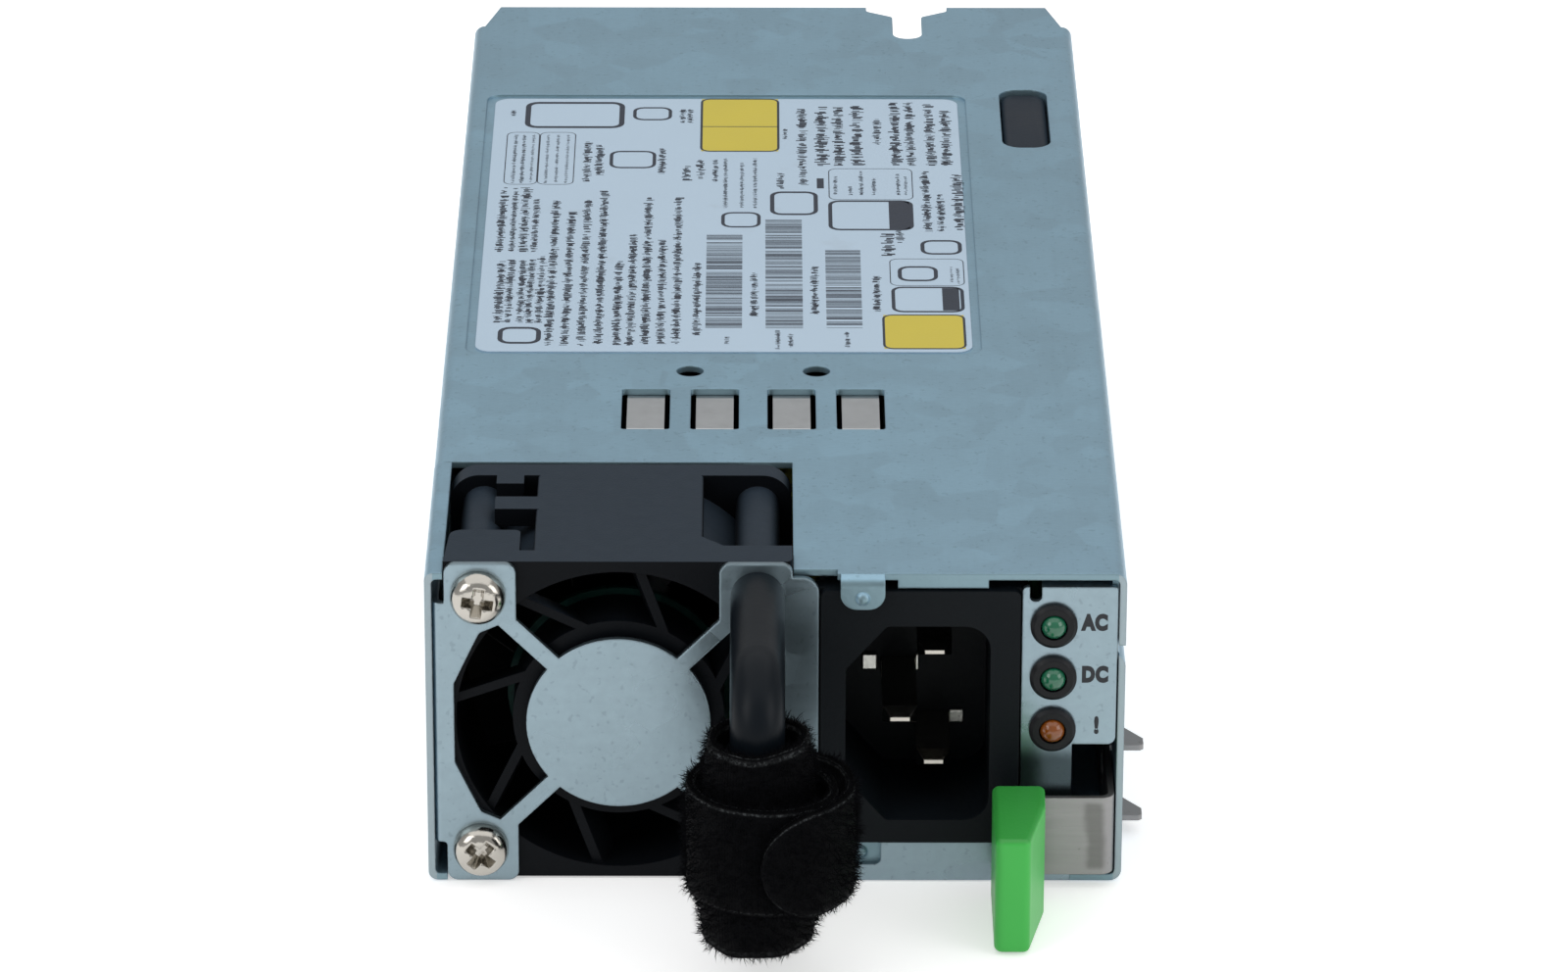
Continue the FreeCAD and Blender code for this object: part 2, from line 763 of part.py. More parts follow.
def impeller():
    """The hub, closed at the back, and its twisted blades."""
    y = rotor_y
    hub = rod((fan_x, y, fan_z), (0, 1, 0), hub_radius, hub_depth)
    edge = hub.makeFillet(1.2, [hub.Edges[0]])
    hollow = rod((fan_x, y - 1, fan_z), (0, 1, 0), hub_radius - 1.1, hub_depth - 0.2)
    limit = ring((fan_x, y, fan_z), (0, 1, 0), bore_radius - blade_tip_gap, hub_radius - 0.6, hub_depth)
    blades = [blade(360.0 / blade_count * k).common(limit) for k in range(blade_count)]
    return less(union([edge] + blades), [hollow])


def rotor_yoke():
    y = rotor_y + 0.2
    outer = rod((fan_x, y, fan_z), (0, 1, 0), hub_radius - 1.1, hub_depth - 1.4)
    return less(outer, [rod((fan_x, y - 1, fan_z), (0, 1, 0), hub_radius - 1.7, hub_depth - 1.0)])


def rotor_magnet():
    y = rotor_y + 1.2
    return ring((fan_x, y, fan_z), (0, 1, 0), hub_radius - 1.7, hub_radius - 3.0, hub_depth - 5.0)


def fan_shaft():
    y = sheet + 3.0
    length = rotor_y + hub_depth - 1.8 - y
    return rod((fan_x, y, fan_z), (0, 1, 0), shaft_radius, length)


def fan_bearings():
    made = []
    for y in (sheet + 3.2, motor_board_y + 8.2):
        made.append(ring((fan_x, y, fan_z), (0, 1, 0), 3.0, shaft_radius + 0.05, 3.0))
    return group(made)


def fan_stator():
    """Laminated core with six wound poles on the bearing tube."""
    y = rotor_y + 1.2
    depth = 9.0
    core = ring((fan_x, y, fan_z), (0, 1, 0), 5.2, 3.9, depth)
    parts = [core]
    for k in range(6):
        pole = box((4.6, hub_radius - 3.0 - rotor_gap - 0.3), (y + 1.5, y + depth - 1.5), (-1.4, 1.4))
        shoe = box((hub_radius - 3.0 - rotor_gap - 1.6, hub_radius - 3.0 - rotor_gap - 0.3),
                   (y + 1.0, y + depth - 1.0), (-2.7, 2.7))
        for piece in (pole, shoe):
            piece.rotate(V(0, 0, 0), V(0, 1, 0), 60 * k)
            piece.translate(V(fan_x, 0, fan_z))
            parts.append(piece)
    return union(parts)


def fan_board():
    """The ring shaped board of the motor, seen as a green edge behind the disc."""
    return ring((fan_x, motor_board_y, fan_z), (0, 1, 0), cup_radius + board_rim, 3.95, motor_board)


def fan_screws():
    """Two pan head screws at the left ears, with cross recesses."""
    made = []
    for z in (grip_z_low, grip_z_top):
        head = rod((screw_left, -2.3, z), (0, 1, 0), 3.2, 2.3)
        head = head.makeFillet(1.5, [e for e in head.Edges if e.CenterOfMass.y < -2.2][:1])
        shank = rod((screw_left, 0, z), (0, 1, 0), screw_hole - 0.15, 11.0)
        screw = union([head, shank])
        cross = []
        for size in ((2.1, 0.55), (0.55, 2.1)):
            cross.append(box((screw_left - size[0], screw_left + size[0]), (-3, -1.0), (z - size[1], z + size[1])))
        made.append(less(screw, [group(cross).rotated(V(screw_left, 0, z), V(0, 1, 0), 8)]))
    return group(made)


def bundle(route, radius):
    """A tube along straight runs joined by arcs as large as the runs allow."""
    edges = []
    at_point = route[0]
    for i in range(1, len(route) - 1):
        before = route[i - 1]
        point = route[i]
        after = route[i + 1]
        u = (before - point)
        w = (after - point)
        run = 0.45 * min(u.Length, w.Length)
        u.normalize()
        w.normalize()
        angle = u.getAngle(w)
        reach = run / math.cos(angle / 2) - run * math.tan(angle / 2)
        m = u + w
        m.normalize()
        start = point + u * run
        middle = point + m * reach
        end = point + w * run
        edges.append(Part.LineSegment(at_point, start).toShape())
        edges.append(Part.Arc(start, middle, end).toShape())
        at_point = end
    edges.append(Part.LineSegment(at_point, route[-1]).toShape())
    path = Part.Wire(edges)
    axis = route[1] - route[0]
    circle = Part.makeCircle(radius, route[0], axis)
    return path.makePipeShell([Part.Wire([circle])], True, True)


def fan_lead():
    """The bundled leads from the fan to its socket on the board."""
    y = sheet + fan_depth
    x = fan_x - fan_size * 0.33
    z = fan_z + fan_size * 0.365
    end_x, end_y = plug_place()
    route = [V(x, y, z), V(x, y + 5.7, z), V(x + 3.3, y + 11.0, z - 7.7), V(end_x, end_y, z - 15.7),
             V(end_x, end_y, board_top + 4.3)]
    return bundle(route, 0.9)


def plug_place():
    return fan_x - 6.4, sheet + fan_depth + 12.0


def fan_plug():
    """The plug and socket where the fan's leads meet the board."""
    x, y = plug_place()
    base = box((x - 4.2, x + 4.2), (y - 2.6, y + 2.6), (board_top, board_top + 3.4))
    cap = prism(rectangle(x - 3.4, x + 3.4, y - 1.9, y + 1.9, 0.5), "XY", board_top + 3.4, 0.9)
    return union([base, cap])


# Handle and strap

def handle_path():
    """The centre line of the handle, in the vertical plane through the screws."""
    x = screw_right
    r = grip_bend
    k = r * math.sqrt(0.5)
    y = -grip_reach
    top = grip_z_top
    low = grip_z_low
    edges = [Part.LineSegment(V(x, 0, top), V(x, y + r, top)).toShape()]
    edges.append(Part.Arc(V(x, y + r, top), V(x, y + r - k, top - r + k), V(x, y, top - r)).toShape())
    edges.append(Part.LineSegment(V(x, y, top - r), V(x, y, low + r)).toShape())
    edges.append(Part.Arc(V(x, y, low + r), V(x, y + r - k, low + r - k), V(x, y + r, low)).toShape())
    edges.append(Part.LineSegment(V(x, y + r, low), V(x, 0, low)).toShape())
    return Part.Wire(edges)


def handle_bar(radius):
    circle = Part.makeCircle(radius, V(screw_right, 0, grip_z_top), V(0, 1, 0))
    return handle_path().makePipeShell([Part.Wire([circle])], True, True)


def handle_core():
    """The steel bar inside the handle, threaded at both ends."""
    bar = handle_bar(core_radius)
    holes = [rod((screw_right, -12, z), (0, 1, 0), 1.25, 12.1) for z in (grip_z_low, grip_z_top)]
    return less(bar, holes)


def handle_sleeve():
    """The glossy black sleeve over the whole bar."""
    return less(handle_bar(grip_radius), [handle_bar(core_radius)])


def handle_screws():
    """Long screws through the fan from behind into the ends of the handle."""
    made = []
    y = sheet + fan_depth
    for z in (grip_z_low, grip_z_top):
        shank = rod((screw_right, -11, z), (0, 1, 0), 1.25, y + 11)
        head = rod((screw_right, y, z), (0, 1, 0), 2.7, 1.9)
        head = head.makeChamfer(0.7, [e for e in head.Edges if e.CenterOfMass.y > y + 1.8][:1])
        slot = box((screw_right - 1.6, screw_right + 1.6), (y + 0.9, y + 3), (z - 0.4, z + 0.4))
        made.append(less(union([shank, head]), [slot]))
    return group(made)


def strap_outline():
    """The strap seen from above: a tube round the grip and a loose roll of its tail."""
    inner_r = strap_bore + strap_thick
    cx = screw_right
    cy = -grip_reach
    roll = inner_r + tail_gap + 2 * strap_thick
    return cx, cy, inner_r, roll


def cable_strap():
    """The hook and loop strap: a closed tube round the grip, its tail rolled over it."""
    cx, cy, tube_r, roll = strap_outline()
    low = strap_foot
    tube = ring((cx, cy, low), (0, 0, 1), tube_r, strap_bore, strap_height)
    shift = tail_gap * 0.7
    tail_low = strap_middle - tail_height / 2 - tail_drop
    outer = rod((cx + shift, cy, tail_low), (0, 0, 1), roll, tail_height)
    bore = rod((cx + shift, cy, tail_low), (0, 0, 1), roll - 2 * strap_thick, tail_height)
    bridge = box((cx - tube_r - 1.5, cx - strap_bore - strap_thick / 2),
                 (cy - 3.0, cy + 3.0), (tail_low, tail_low + tail_height))
    strap = union([less(outer, [bore]), tube])
    return less(union([strap, bridge]), [rod((cx, cy, low - 1), (0, 0, 1), strap_bore, strap_height + 2)])


# Latch

def latch_lever():
    """The spring leaf: tail along the wall, two wedge teeth and the arm across the front."""
    face = -latch_front
    path = [(latch_out, latch_pivot), (latch_out, face), (tongue_x, face), (tongue_x, face - tongue_length)]
    leaf = bent(path[::-1], latch_thick, latch_bend - latch_thick, "XY", latch_foot, latch_height)
    parts = [leaf]
    tip = half + tooth_proud
    shape = [(latch_out - latch_thick, tooth_start), (tip - 0.4, tooth_start), (tip, tooth_start + 0.4),
             (tip, tooth_start + tooth_tip), (latch_out, tooth_start + tooth_length)]
    shape.append((latch_out - latch_thick, tooth_start + tooth_length))
    for z in tooth_levels():
        parts.append(prism(shape, "XY", z - latch_thick / 2, latch_thick))
    holes = [rod((latch_out - 2, y, z), (1, 0, 0), 1.15, 3) for y, z in rivet_places()]
    window_y = (tooth_start + 1.0, tooth_start + tooth_length - 1.0)
    middle = latch_foot + latch_height / 2
    opening = prism(rectangle(*window_y, middle - 2.0, middle + 2.0, 1.0), "YZ", latch_out - 2, 3)
    return less(union(parts), holes + [opening])


def latch_rivets():
    """Two rivets that hold the rear end of the leaf against the wall."""
    made = []
    under = latch_out - latch_thick - 0.5
    for y, z in rivet_places():
        shank = rod((under, y, z), (1, 0, 0), 0.9, inner + sheet - under)
        head = rod((under - 0.7, y, z), (1, 0, 0), 1.8, 0.7)
        made.append(union([shank, head]))
    return group(made)


def latch_grip():
    """The moulded finger grip on the tongue of the leaf."""
    front = -grip_tab_gap - grip_tab_length
    back = -grip_tab_gap
    plan = [(tongue_x - 2.95, back, 0.8), (tongue_x - 2.95, front, 1.0), (tongue_x + 1.0, front, 0.8),
            (tongue_x + 3.0, front + 9.6, 2.0), (tongue_x + 3.1, back, 0.8)]
    solid = prism(plan, "XY", grip_tab_foot, grip_tab_height)
    rims = [e for e in solid.Edges if abs(e.CenterOfMass.z - grip_tab_foot) < 0.01
            or abs(e.CenterOfMass.z - grip_tab_foot - grip_tab_height) < 0.01]
    solid = solid.makeFillet(0.7, rims)
    pocket = box((tongue_x - latch_thick, tongue_x),
                 (-latch_front - tongue_length, back + 1), (latch_foot, latch_top))
    return less(solid, [pocket])


# Inlet and lamps

def cavity_plan(grow):
    """The outline of the socket, with two cut corners on the earth side."""
    x0 = cavity_right - cavity_width - grow
    x1 = cavity_right + grow
    z0 = cavity_z - cavity_height / 2 - grow
    z1 = cavity_z + cavity_height / 2 + grow
    return [(x0 + 4.7, z0, 0.8), (x1, z0, 3.0), (x1, z1, 3.0), (x0 + 4.7, z1, 0.8), (x0, z1 - 5.4, 0.8),
            (x0, z0 + 5.4, 0.8)]


def inlet_housing():
    """The moulded inlet body with its socket, side ribs and rear terminal block."""
    body = prism(rectangle(inlet_left + plate_gap, inlet_right - plate_gap, strip_height + 0.1, inlet_top, 0.8),
                 "XZ", -0.3, inlet_depth)
    flange = prism(rectangle(inlet_left - 2.2, inlet_right + 0.6, strip_height + 0.1, inlet_top, 1.0),
                   "XZ", sheet + 0.05, 2.0)
    block = prism(rectangle(inlet_left + 4, inlet_right - 4, strip_height + 4, inlet_top - 4, 1.5),
                  "XZ", inlet_depth - 0.5, 3.0)
    socket = prism(cavity_plan(0), "XZ", -1, cavity_depth + 0.7)
    cuts = [socket]
    for x, z, tip in pin_places():
        cuts.append(pin_shape(x, z, cavity_depth - 1.0, inlet_depth + 3.5 - cavity_depth))
    return less(union([body, flange, block]), cuts)


def pin_places():
    """(x, z, depth of the tip) of the line, neutral and earth pins."""
    x = cavity_x + 2.0
    return [(x, cavity_z + pin_pitch / 2, line_tip), (x, cavity_z - pin_pitch / 2, line_tip),
            (x - pin_shift, cavity_z, earth_tip)]


def pin_shape(x, z, y, length):
    return prism(rectangle(x - pin_width / 2, x + pin_width / 2, z - pin_thick / 2, z + pin_thick / 2),
                 "XZ", y, length)


def inlet_pin(number):
    """One blade with a bevelled tip, through the housing to its rear terminal."""
    x, z, tip = pin_places()[number]
    blade_part = pin_shape(x, z, tip + 1.6, inlet_depth + 2.5 - tip - 1.6)
    wide = outline(rectangle(x - pin_width / 2, x + pin_width / 2, z - pin_thick / 2, z + pin_thick / 2),
                   "XZ", tip + 1.6)
    narrow = outline(rectangle(x - pin_width * 0.28, x + pin_width * 0.28, z - pin_thick * 0.12,
                               z + pin_thick * 0.12), "XZ", tip)
    point = Part.makeLoft([narrow, wide], True, True)
    tab = pin_shape(x, z, inlet_depth + 2.5, terminal_length)
    tab = tab.common(box((x - 3, x + 3), (0, 99), (z - 0.4, z + 0.4)))
    return union([blade_part, point, tab])


def inlet_leads():
    """Insulated leads from the rear terminals down to the board."""
    made = []
    for x, z, tip in pin_places():
        y = inlet_depth + 2.5 + terminal_length
        sleeve = prism(rectangle(x - 2.8, x + 2.8, z - 1.5, z + 1.5, 0.6), "XZ", y - 5.0, 7.0)
        sleeve = less(sleeve, [box((x - 3, x + 3), (y - 6, y), (z - 0.4, z + 0.4))
                               .common(box((x - 2.0, x + 2.0), (0, 99), (0, 99)))])
        land = y + (12.0 if z > cavity_z + 1 else 8.0)
        route = [V(x, y + 2.0, z), V(x, land, z), V(x, land, board_top)]
        made.append(union([sleeve, bundle(route, 1.1)]))
    return group(made)


def led_board():
    """The small board behind the lamp panel."""
    return prism(rectangle(inlet_right + 1.0, inner - 2.4, lamp_top - 2 * lamp_pitch - 1.0, lamp_top + 3.2, 0.3),
                 "XZ", 9.5, 1.2)


def led_bezels():
    """Black collars in the lamp panel."""
    made = []
    for z in lamp_levels():
        collar = rod((lamp_column, -0.9, z), (0, 1, 0), bezel_radius, 0.9)
        collar = collar.makeChamfer(0.4, [e for e in collar.Edges if e.CenterOfMass.y < -0.8][:1])
        barrel = rod((lamp_column, 0, z), (0, 1, 0), bezel_radius - 0.4, 4.0)
        bore = rod((lamp_column, -1, z), (0, 1, 0), lamp_radius + 0.05, 6.0)
        made.append(less(union([collar, barrel]), [bore]))
    return group(made)


def lamp(z):
    """One round lamp with a domed tip and its two legs into the board."""
    dome = Part.makeSphere(lamp_radius, V(lamp_column, -0.2, z))
    stem = rod((lamp_column, -0.2, z), (0, 1, 0), lamp_radius, 4.8)
    base = rod((lamp_column, 4.6, z), (0, 1, 0), lamp_radius + 0.3, 1.0)
    legs = [rod((lamp_column + dx, 5.6, z), (0, 1, 0), 0.3, 3.9) for dx in (-0.7, 0.7)]
    return union([dome, stem, base] + legs)


# Boards and the parts on them

def board_plan(rear):
    """The main board, narrower where the latch swings, with its card edge tongue."""
    clear = latch_pivot + 3.0
    t = tongue_width / 2
    end = grille_y - 1.0
    return [(-board_side, board_start), (latch_room, board_start), (latch_room, clear), (board_side, clear),
            (board_side, end), (t, end), (t, rear, 1.0), (-t, rear, 1.0), (-t, end), (-board_side, end)]


def standoff_places():
    rows = (board_start + 5.0, latch_pivot - 1.0, grille_y - 7.0)
    return [(x, y) for y in rows for x in (-board_side + 4.5, latch_room - 4.5)]


def main_board():
    cuts = [rod((x, y, board_rise - 1), (0, 0, 1), 1.6, board_thick + 2) for x, y in standoff_places()]
    t = tongue_width / 2
    key = box((-t + 14.0, -t + 15.6), (tongue_end - 8.0, tongue_end + 1), (0, board_top + 1))
    return less(prism(board_plan(tongue_end), "XY", board_rise, board_thick), cuts + [key])


def edge_contacts():
    """Gold plated pads on top of the tongue: narrow signal pads, then wide power pads."""
    made = []
    t = tongue_width / 2
    x = -t + 1.2
    while x < -t + 12.5:
        made.append(pad(x, 1.0))
        x += 1.6
    x = -t + 17.0
    while x + 4.2 < t - 0.5:
        made.append(pad(x, 4.2))
        x += 5.4
    return group(made)


def pad(x, width):
    return box((x, x + width), (tongue_end - 8.5, tongue_end - 0.6), (board_top, board_top + 0.1))


def floor_film():
    plan = rectangle(-board_side - 0.8, latch_room + 0.8, board_start - 1.0, grille_y - 1.5, 1.0)
    cuts = [rod((x, y, 0), (0, 0, 1), 3.0, 3) for x, y in standoff_places()]
    return less(prism(plan, "XY", sheet, film), cuts)


def roof_film():
    """Black film under the rear half of the roof, seen through the oval slot."""
    z = roof - label_depth - film - 1.4
    plan = rectangle(-board_side + 0.5, board_side - 0.4, pilot_y + 4, grille_y - 2.0, 1.0)
    return prism(plan, "XY", z, film)


def standoffs():
    made = []
    for x, y in standoff_places():
        post = rod((x, y, sheet), (0, 0, 1), 2.6, board_rise - sheet)
        made.append(less(post, [rod((x, y, sheet), (0, 0, 1), 1.25, board_rise)]))
    return group(made)


def board_screws():
    made = []
    for x, y in standoff_places():
        shank = rod((x, y, sheet + 0.4), (0, 0, 1), 1.25, board_top - sheet - 0.4)
        head = rod((x, y, board_top), (0, 0, 1), 2.6, 1.7)
        head = head.makeChamfer(0.6, [e for e in head.Edges if e.CenterOfMass.z > board_top + 1.6][:1])
        slot = box((x - 1.7, x + 1.7), (y - 0.35, y + 0.35), (board_top + 0.9, board_top + 2))
        made.append(less(union([shank, head]), [slot]))
    return group(made)


def case_screws():
    """Four flat screws through the skirts into the tongues of the tray."""
    made = []
    for side, y, z in case_screw_places():
        cone = Part.makeCone(2.6, 1.5, sheet * 0.75, V(side * half, y, z), V(-side, 0, 0))
        shank = rod((side * (half - 0.1), y, z), (-side, 0, 0), 1.5, 3.4)
        slot = box(sorted((side * (half - 0.35), side * (half + 1))), (y - 1.6, y + 1.6), (z - 0.3, z + 0.3))
        made.append(less(union([cone, shank]), [slot]))
    return group(made)


def screw_cuts(grow):
    cuts = []
    for side, y, z in case_screw_places():
        cuts.append(Part.makeCone(2.6 + grow, 1.5 + grow, sheet * 0.75, V(side * half, y, z), V(-side, 0, 0)))
        cuts.append(rod((side * (half - 0.1), y, z), (-side, 0, 0), 1.5 + grow, 4.0))
    return cuts


def grounding_springs():
    """The strip of contact fingers that stand in the windows of the cover."""
    thick = 0.2
    rear = window_start + window_length
    high = roof + 0.35
    low = roof - 0.05
    base_x = (window_places()[0] - 3.2, window_places()[3] + 3.2)
    parts = [box(base_x, (rear + 0.6, rear + 3.4), (low - thick, low))]
    path = [(rear + 1.0, low - thick), (rear - 0.6, low - thick), (rear - 1.8, high - thick),
            (window_start + 1.2, high - thick), (window_start + 0.5, high - 1.6)]
    for x in window_places():
        parts.append(bent(path, -thick, 0.2, "YZ", x - 2.25, 4.5))
    return union(parts)


def toroid(x, y):
    """A wound ring core lying on the board."""
    body = ring((x, y, board_top), (0, 0, 1), choke_radius, choke_bore, choke_height)
    return body.makeChamfer(1.4, body.Edges)


def filter_chokes():
    y = board_start + choke_row
    right = latch_room - choke_radius - 9.0
    return group([toroid(right - 2 * choke_radius - choke_space, y), toroid(right, y)])


def film_capacitors():
    """A small box capacitor before the chokes and a large one behind them."""
    near = board_start + choke_row - 4.5
    behind = relay_y + box_depth / 2
    left = -board_side + 4.0
    middle = latch_room - 2 * choke_radius - choke_space - 17.5
    made = []
    for x0, y, width in ((left, near, small_box - 3.0), (middle - large_box / 2, behind, large_box)):
        plan = rectangle(x0, x0 + width, y - box_depth / 2, y + box_depth / 2, 0.8)
        made.append(prism(plan, "XY", board_top, box_height))
    return group(made)


def fuse():
    y = board_start + choke_row
    made = rod((-board_side + fuse_radius + 0.8, y, board_top + fuse_radius), (0, 1, 0), fuse_radius, fuse_length)
    return made.makeChamfer(0.4, made.Edges)


def relay():
    x = latch_room - 2.0
    plan = rectangle(x - relay_width, x, relay_y, relay_y + relay_depth, 0.6)
    return prism(plan, "XY", board_top, relay_height)


def bulk_capacitors():
    """Two large capacitors that lie along the board."""
    made = []
    length = heatsink_y - transistor_thick - 2 * part_space - can_y
    for k in (0, 1):
        x = -board_side + 1.8 + can_radius + k * (2 * can_radius + 0.4)
        can = rod((x, can_y, board_top + can_radius), (0, 1, 0), can_radius, length)
        made.append(can.makeChamfer(1.0, can.Edges))
    return group(made)


def pfc_choke():
    rear = transformer_y() - 4.0
    plan = rectangle(magnetics_x, magnetics_x + magnetics_width, can_y, rear, 1.0)
    return prism(plan, "XY", board_top, tall)


def transformer_y():
    return heatsink_y - part_space - 3.0 - ferrite_depth


def heatsink_span():
    return -board_side + 2.0, magnetics_x - 5.0


def primary_heatsink():
    """A finned bar that stands behind the capacitors."""
    span = heatsink_span()
    y = heatsink_y + heatsink_plate
    base = box(span, (heatsink_y, y), (board_top, board_top + tall + 1.0))
    fins = [box(span, (y, y + fin_depth), (board_top + 4.0 + k * fin_pitch, board_top + 4.0 + fin_thick + k * fin_pitch))
            for k in range(fin_count)]
    return union([base] + fins)


def power_transistors():
    """Four flat packages against the heatsink, each with three legs."""
    made = []
    front = heatsink_y - transistor_thick
    for k in range(4):
        x = heatsink_span()[0] + 5.0 + k * transistor_pitch
        body = box((x, x + transistor_width), (front, heatsink_y), (board_top + 3.0, board_top + 3.0 + transistor_height))
        legs = [box((x + 1.0 + 3.2 * n, x + 2.2 + 3.2 * n), (front + 1.4, front + 2.2), (board_top, board_top + 3.0))
                for n in range(3)]
        made.append(union([body] + legs))
    return group(made)


def ferrite_place():
    x = magnetics_x + (magnetics_width - ferrite_width) / 2
    return x, x + ferrite_width, transformer_y()


def transformer_core():
    """The ferrite frame of the main transformer, its middle leg inside the winding."""
    x0, x1, y = ferrite_place()
    core = box((x0, x1), (y, y + ferrite_depth), (board_top, board_top + tall))
    rooms = [box((x0 - 1, x1 + 1), (y + ferrite_leg, y + ferrite_depth - ferrite_leg), (z, z + winding_room))
             for z in winding_levels()]
    return less(core, rooms)


def winding_levels():
    """The undersides of the two rooms for the winding."""
    return [board_top + ferrite_yoke, board_top + tall - ferrite_yoke - winding_room]


def transformer_winding():
    x0, x1, y = ferrite_place()
    low = winding_levels()[0] + 0.1
    high = winding_levels()[1] + winding_room - 0.1
    depth = ferrite_depth - 2 * ferrite_leg - 0.2
    coil = prism(rectangle(x0 - 2.2, x1 + 2.2, low, high, 2.0), "XZ", y + ferrite_leg + 0.1, depth)
    bore = box((x0 - 0.05, x1 + 0.05), (y - 1, y + ferrite_depth + 1),
               (low - 0.1 + winding_room - 0.05, winding_levels()[1] + 0.05))
    return less(coil, [bore])


def output_capacitors():
    """Rows of small cans before the card edge."""
    made = []
    left = -board_side + 13.0
    count = int((2 * board_side - 31.0) / small_can_pitch) + 1
    for row in range(small_can_rows):
        y = output_y + small_can + 3.0 + row * (2 * small_can + 1.5)
        for k in range(count):
            can = rod((left + k * small_can_pitch, y, board_top), (0, 0, 1), small_can, small_can_height)
            made.append(can.makeChamfer(0.5, can.Edges))
    return group(made)


def bus_bar():
    """The copper bar along the outputs."""
    right = board_side - 4.0
    path = [(right - bar_length, board_top + bar_rise), (right, board_top + bar_rise), (right, board_top)]
    return bent(path[::-1], bar_thick, 0.6, "XZ", heatsink_y + 1.0, bar_depth)


def control_board():
    """The upright control board beside the output parts."""
    plan = rectangle(grille_y - 6.0 - control_length, grille_y - 6.0, board_top, board_top + tall, 0.5)
    return prism(plan, "YZ", -board_side, control_thick)


def build():
    os.makedirs("parts", exist_ok=True)
    holes = screw_cuts(0.04)
    save("chassis", less(chassis(), holes))
    save("cover", less(cover(), holes))
    save("face_plate", face_plate())
    save("rear_grille", rear_grille())
    save("rating_label", prism(label_plan(-0.1), "XY", case_height - label_depth, label_thick))
    save("case_screws", case_screws())
    save("grounding_springs", grounding_springs())
    save("fan_frame", fan_frame())
    save("impeller", impeller())
    save("rotor_yoke", rotor_yoke())
    save("rotor_magnet", rotor_magnet())
    save("fan_shaft", fan_shaft())
    save("fan_bearings", fan_bearings())
    save("fan_stator", fan_stator())
    save("fan_board", fan_board())
    save("fan_screws", fan_screws())
    save("fan_lead", fan_lead())
    save("fan_plug", fan_plug())
    save("handle_core", handle_core())
    save("handle_sleeve", handle_sleeve())
    save("handle_screws", handle_screws())
    save("cable_strap", cable_strap())
    save("latch_lever", latch_lever())
    save("latch_grip", latch_grip())
    save("latch_rivets", latch_rivets())
    save("inlet_housing", inlet_housing())
    for number, name in enumerate(("inlet_line_pin", "inlet_neutral_pin", "inlet_earth_pin")):
        save(name, inlet_pin(number))
    save("inlet_leads", inlet_leads())
    save("led_board", led_board())
    save("led_bezels", led_bezels())
    green = [lamp(z) for z in lamp_levels()[:2]]
    save("green_lamps", group(green))
    save("amber_lamp", lamp(lamp_levels()[2]))
    save("main_board", main_board())
    save("edge_contacts", edge_contacts())
    save("floor_film", floor_film())
    save("roof_film", roof_film())
    save("standoffs", standoffs())
    save("board_screws", board_screws())
    save("filter_chokes", filter_chokes())
    save("film_capacitors", film_capacitors())
    save("fuse", fuse())
    save("relay", relay())
    save("bulk_capacitors", bulk_capacitors())
    save("pfc_choke", pfc_choke())
    save("primary_heatsink", primary_heatsink())
    save("power_transistors", power_transistors())
    save("transformer_core", transformer_core())
    save("transformer_winding", transformer_winding())
    save("output_capacitors", output_capacitors())
    save("bus_bar", bus_bar())
    save("control_board", control_board())


build()
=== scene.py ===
"""Looks of the hot swap server power supply: finishes, small pieces and the studio.

Sizes of pieces are in millimetres from the outer face of the face plate and the
underside of the case, and place() turns them into metres in the frame of the part.
Finishes see that frame, so their sizes are in metres.
"""
from __future__ import annotations

import logging
import math
from dataclasses import dataclass
from enum import Enum
from typing import Sequence

import bmesh
import bpy
from bmesh.types import BMesh, BMVert
from bpy.types import ID, Material, Mesh, NodeSocket, NodeTree, Object
from mathutils import Matrix, Vector


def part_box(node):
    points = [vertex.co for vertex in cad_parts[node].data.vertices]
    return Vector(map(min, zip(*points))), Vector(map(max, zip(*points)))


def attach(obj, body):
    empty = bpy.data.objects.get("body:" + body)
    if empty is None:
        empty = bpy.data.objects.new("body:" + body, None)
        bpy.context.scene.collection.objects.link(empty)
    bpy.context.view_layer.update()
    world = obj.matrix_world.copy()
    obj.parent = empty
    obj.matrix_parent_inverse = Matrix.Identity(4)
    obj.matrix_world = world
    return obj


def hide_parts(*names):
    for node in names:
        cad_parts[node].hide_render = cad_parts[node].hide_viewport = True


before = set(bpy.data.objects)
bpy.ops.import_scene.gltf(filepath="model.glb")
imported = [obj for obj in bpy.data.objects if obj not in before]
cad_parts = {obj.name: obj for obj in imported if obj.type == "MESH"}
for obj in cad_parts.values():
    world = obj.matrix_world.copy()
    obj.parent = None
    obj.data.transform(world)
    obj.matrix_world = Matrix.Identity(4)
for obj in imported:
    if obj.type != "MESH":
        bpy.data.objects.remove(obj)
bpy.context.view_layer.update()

MM = 0.001
CASE_LENGTH = 187.7
FRONT = -CASE_LENGTH / 2
COAT_ROUGHNESS = 0.12
WHITE = (1.0, 1.0, 1.0, 1.0)
LOG = logging.getLogger("power_supply")
Colour = tuple[float, float, float, float]
Pair = tuple[float, float]
Triple = tuple[float, float, float]
Rect = tuple[float, float, float, float]


def place(x: float, y: float, z: float) -> Vector:
    """A point of the part's frame, in metres, from millimetres behind the face plate."""
    return Vector((x, y + FRONT, z)) * MM


def paint(red: int, green: int, blue: int) -> Colour:
    """A colour as a screen shows it, turned into linear light.

    Args:
        red, green, blue: From 0 to 255.

    Returns:
        The linear colour with an alpha of 1.
    """
    def linear(value: int) -> float:
        """One channel in linear light."""
        share = value / 255
        return share / 12.92 if share <= 0.04045 else ((share + 0.055) / 1.055) ** 2.4
    return linear(red), linear(green), linear(blue), 1.0


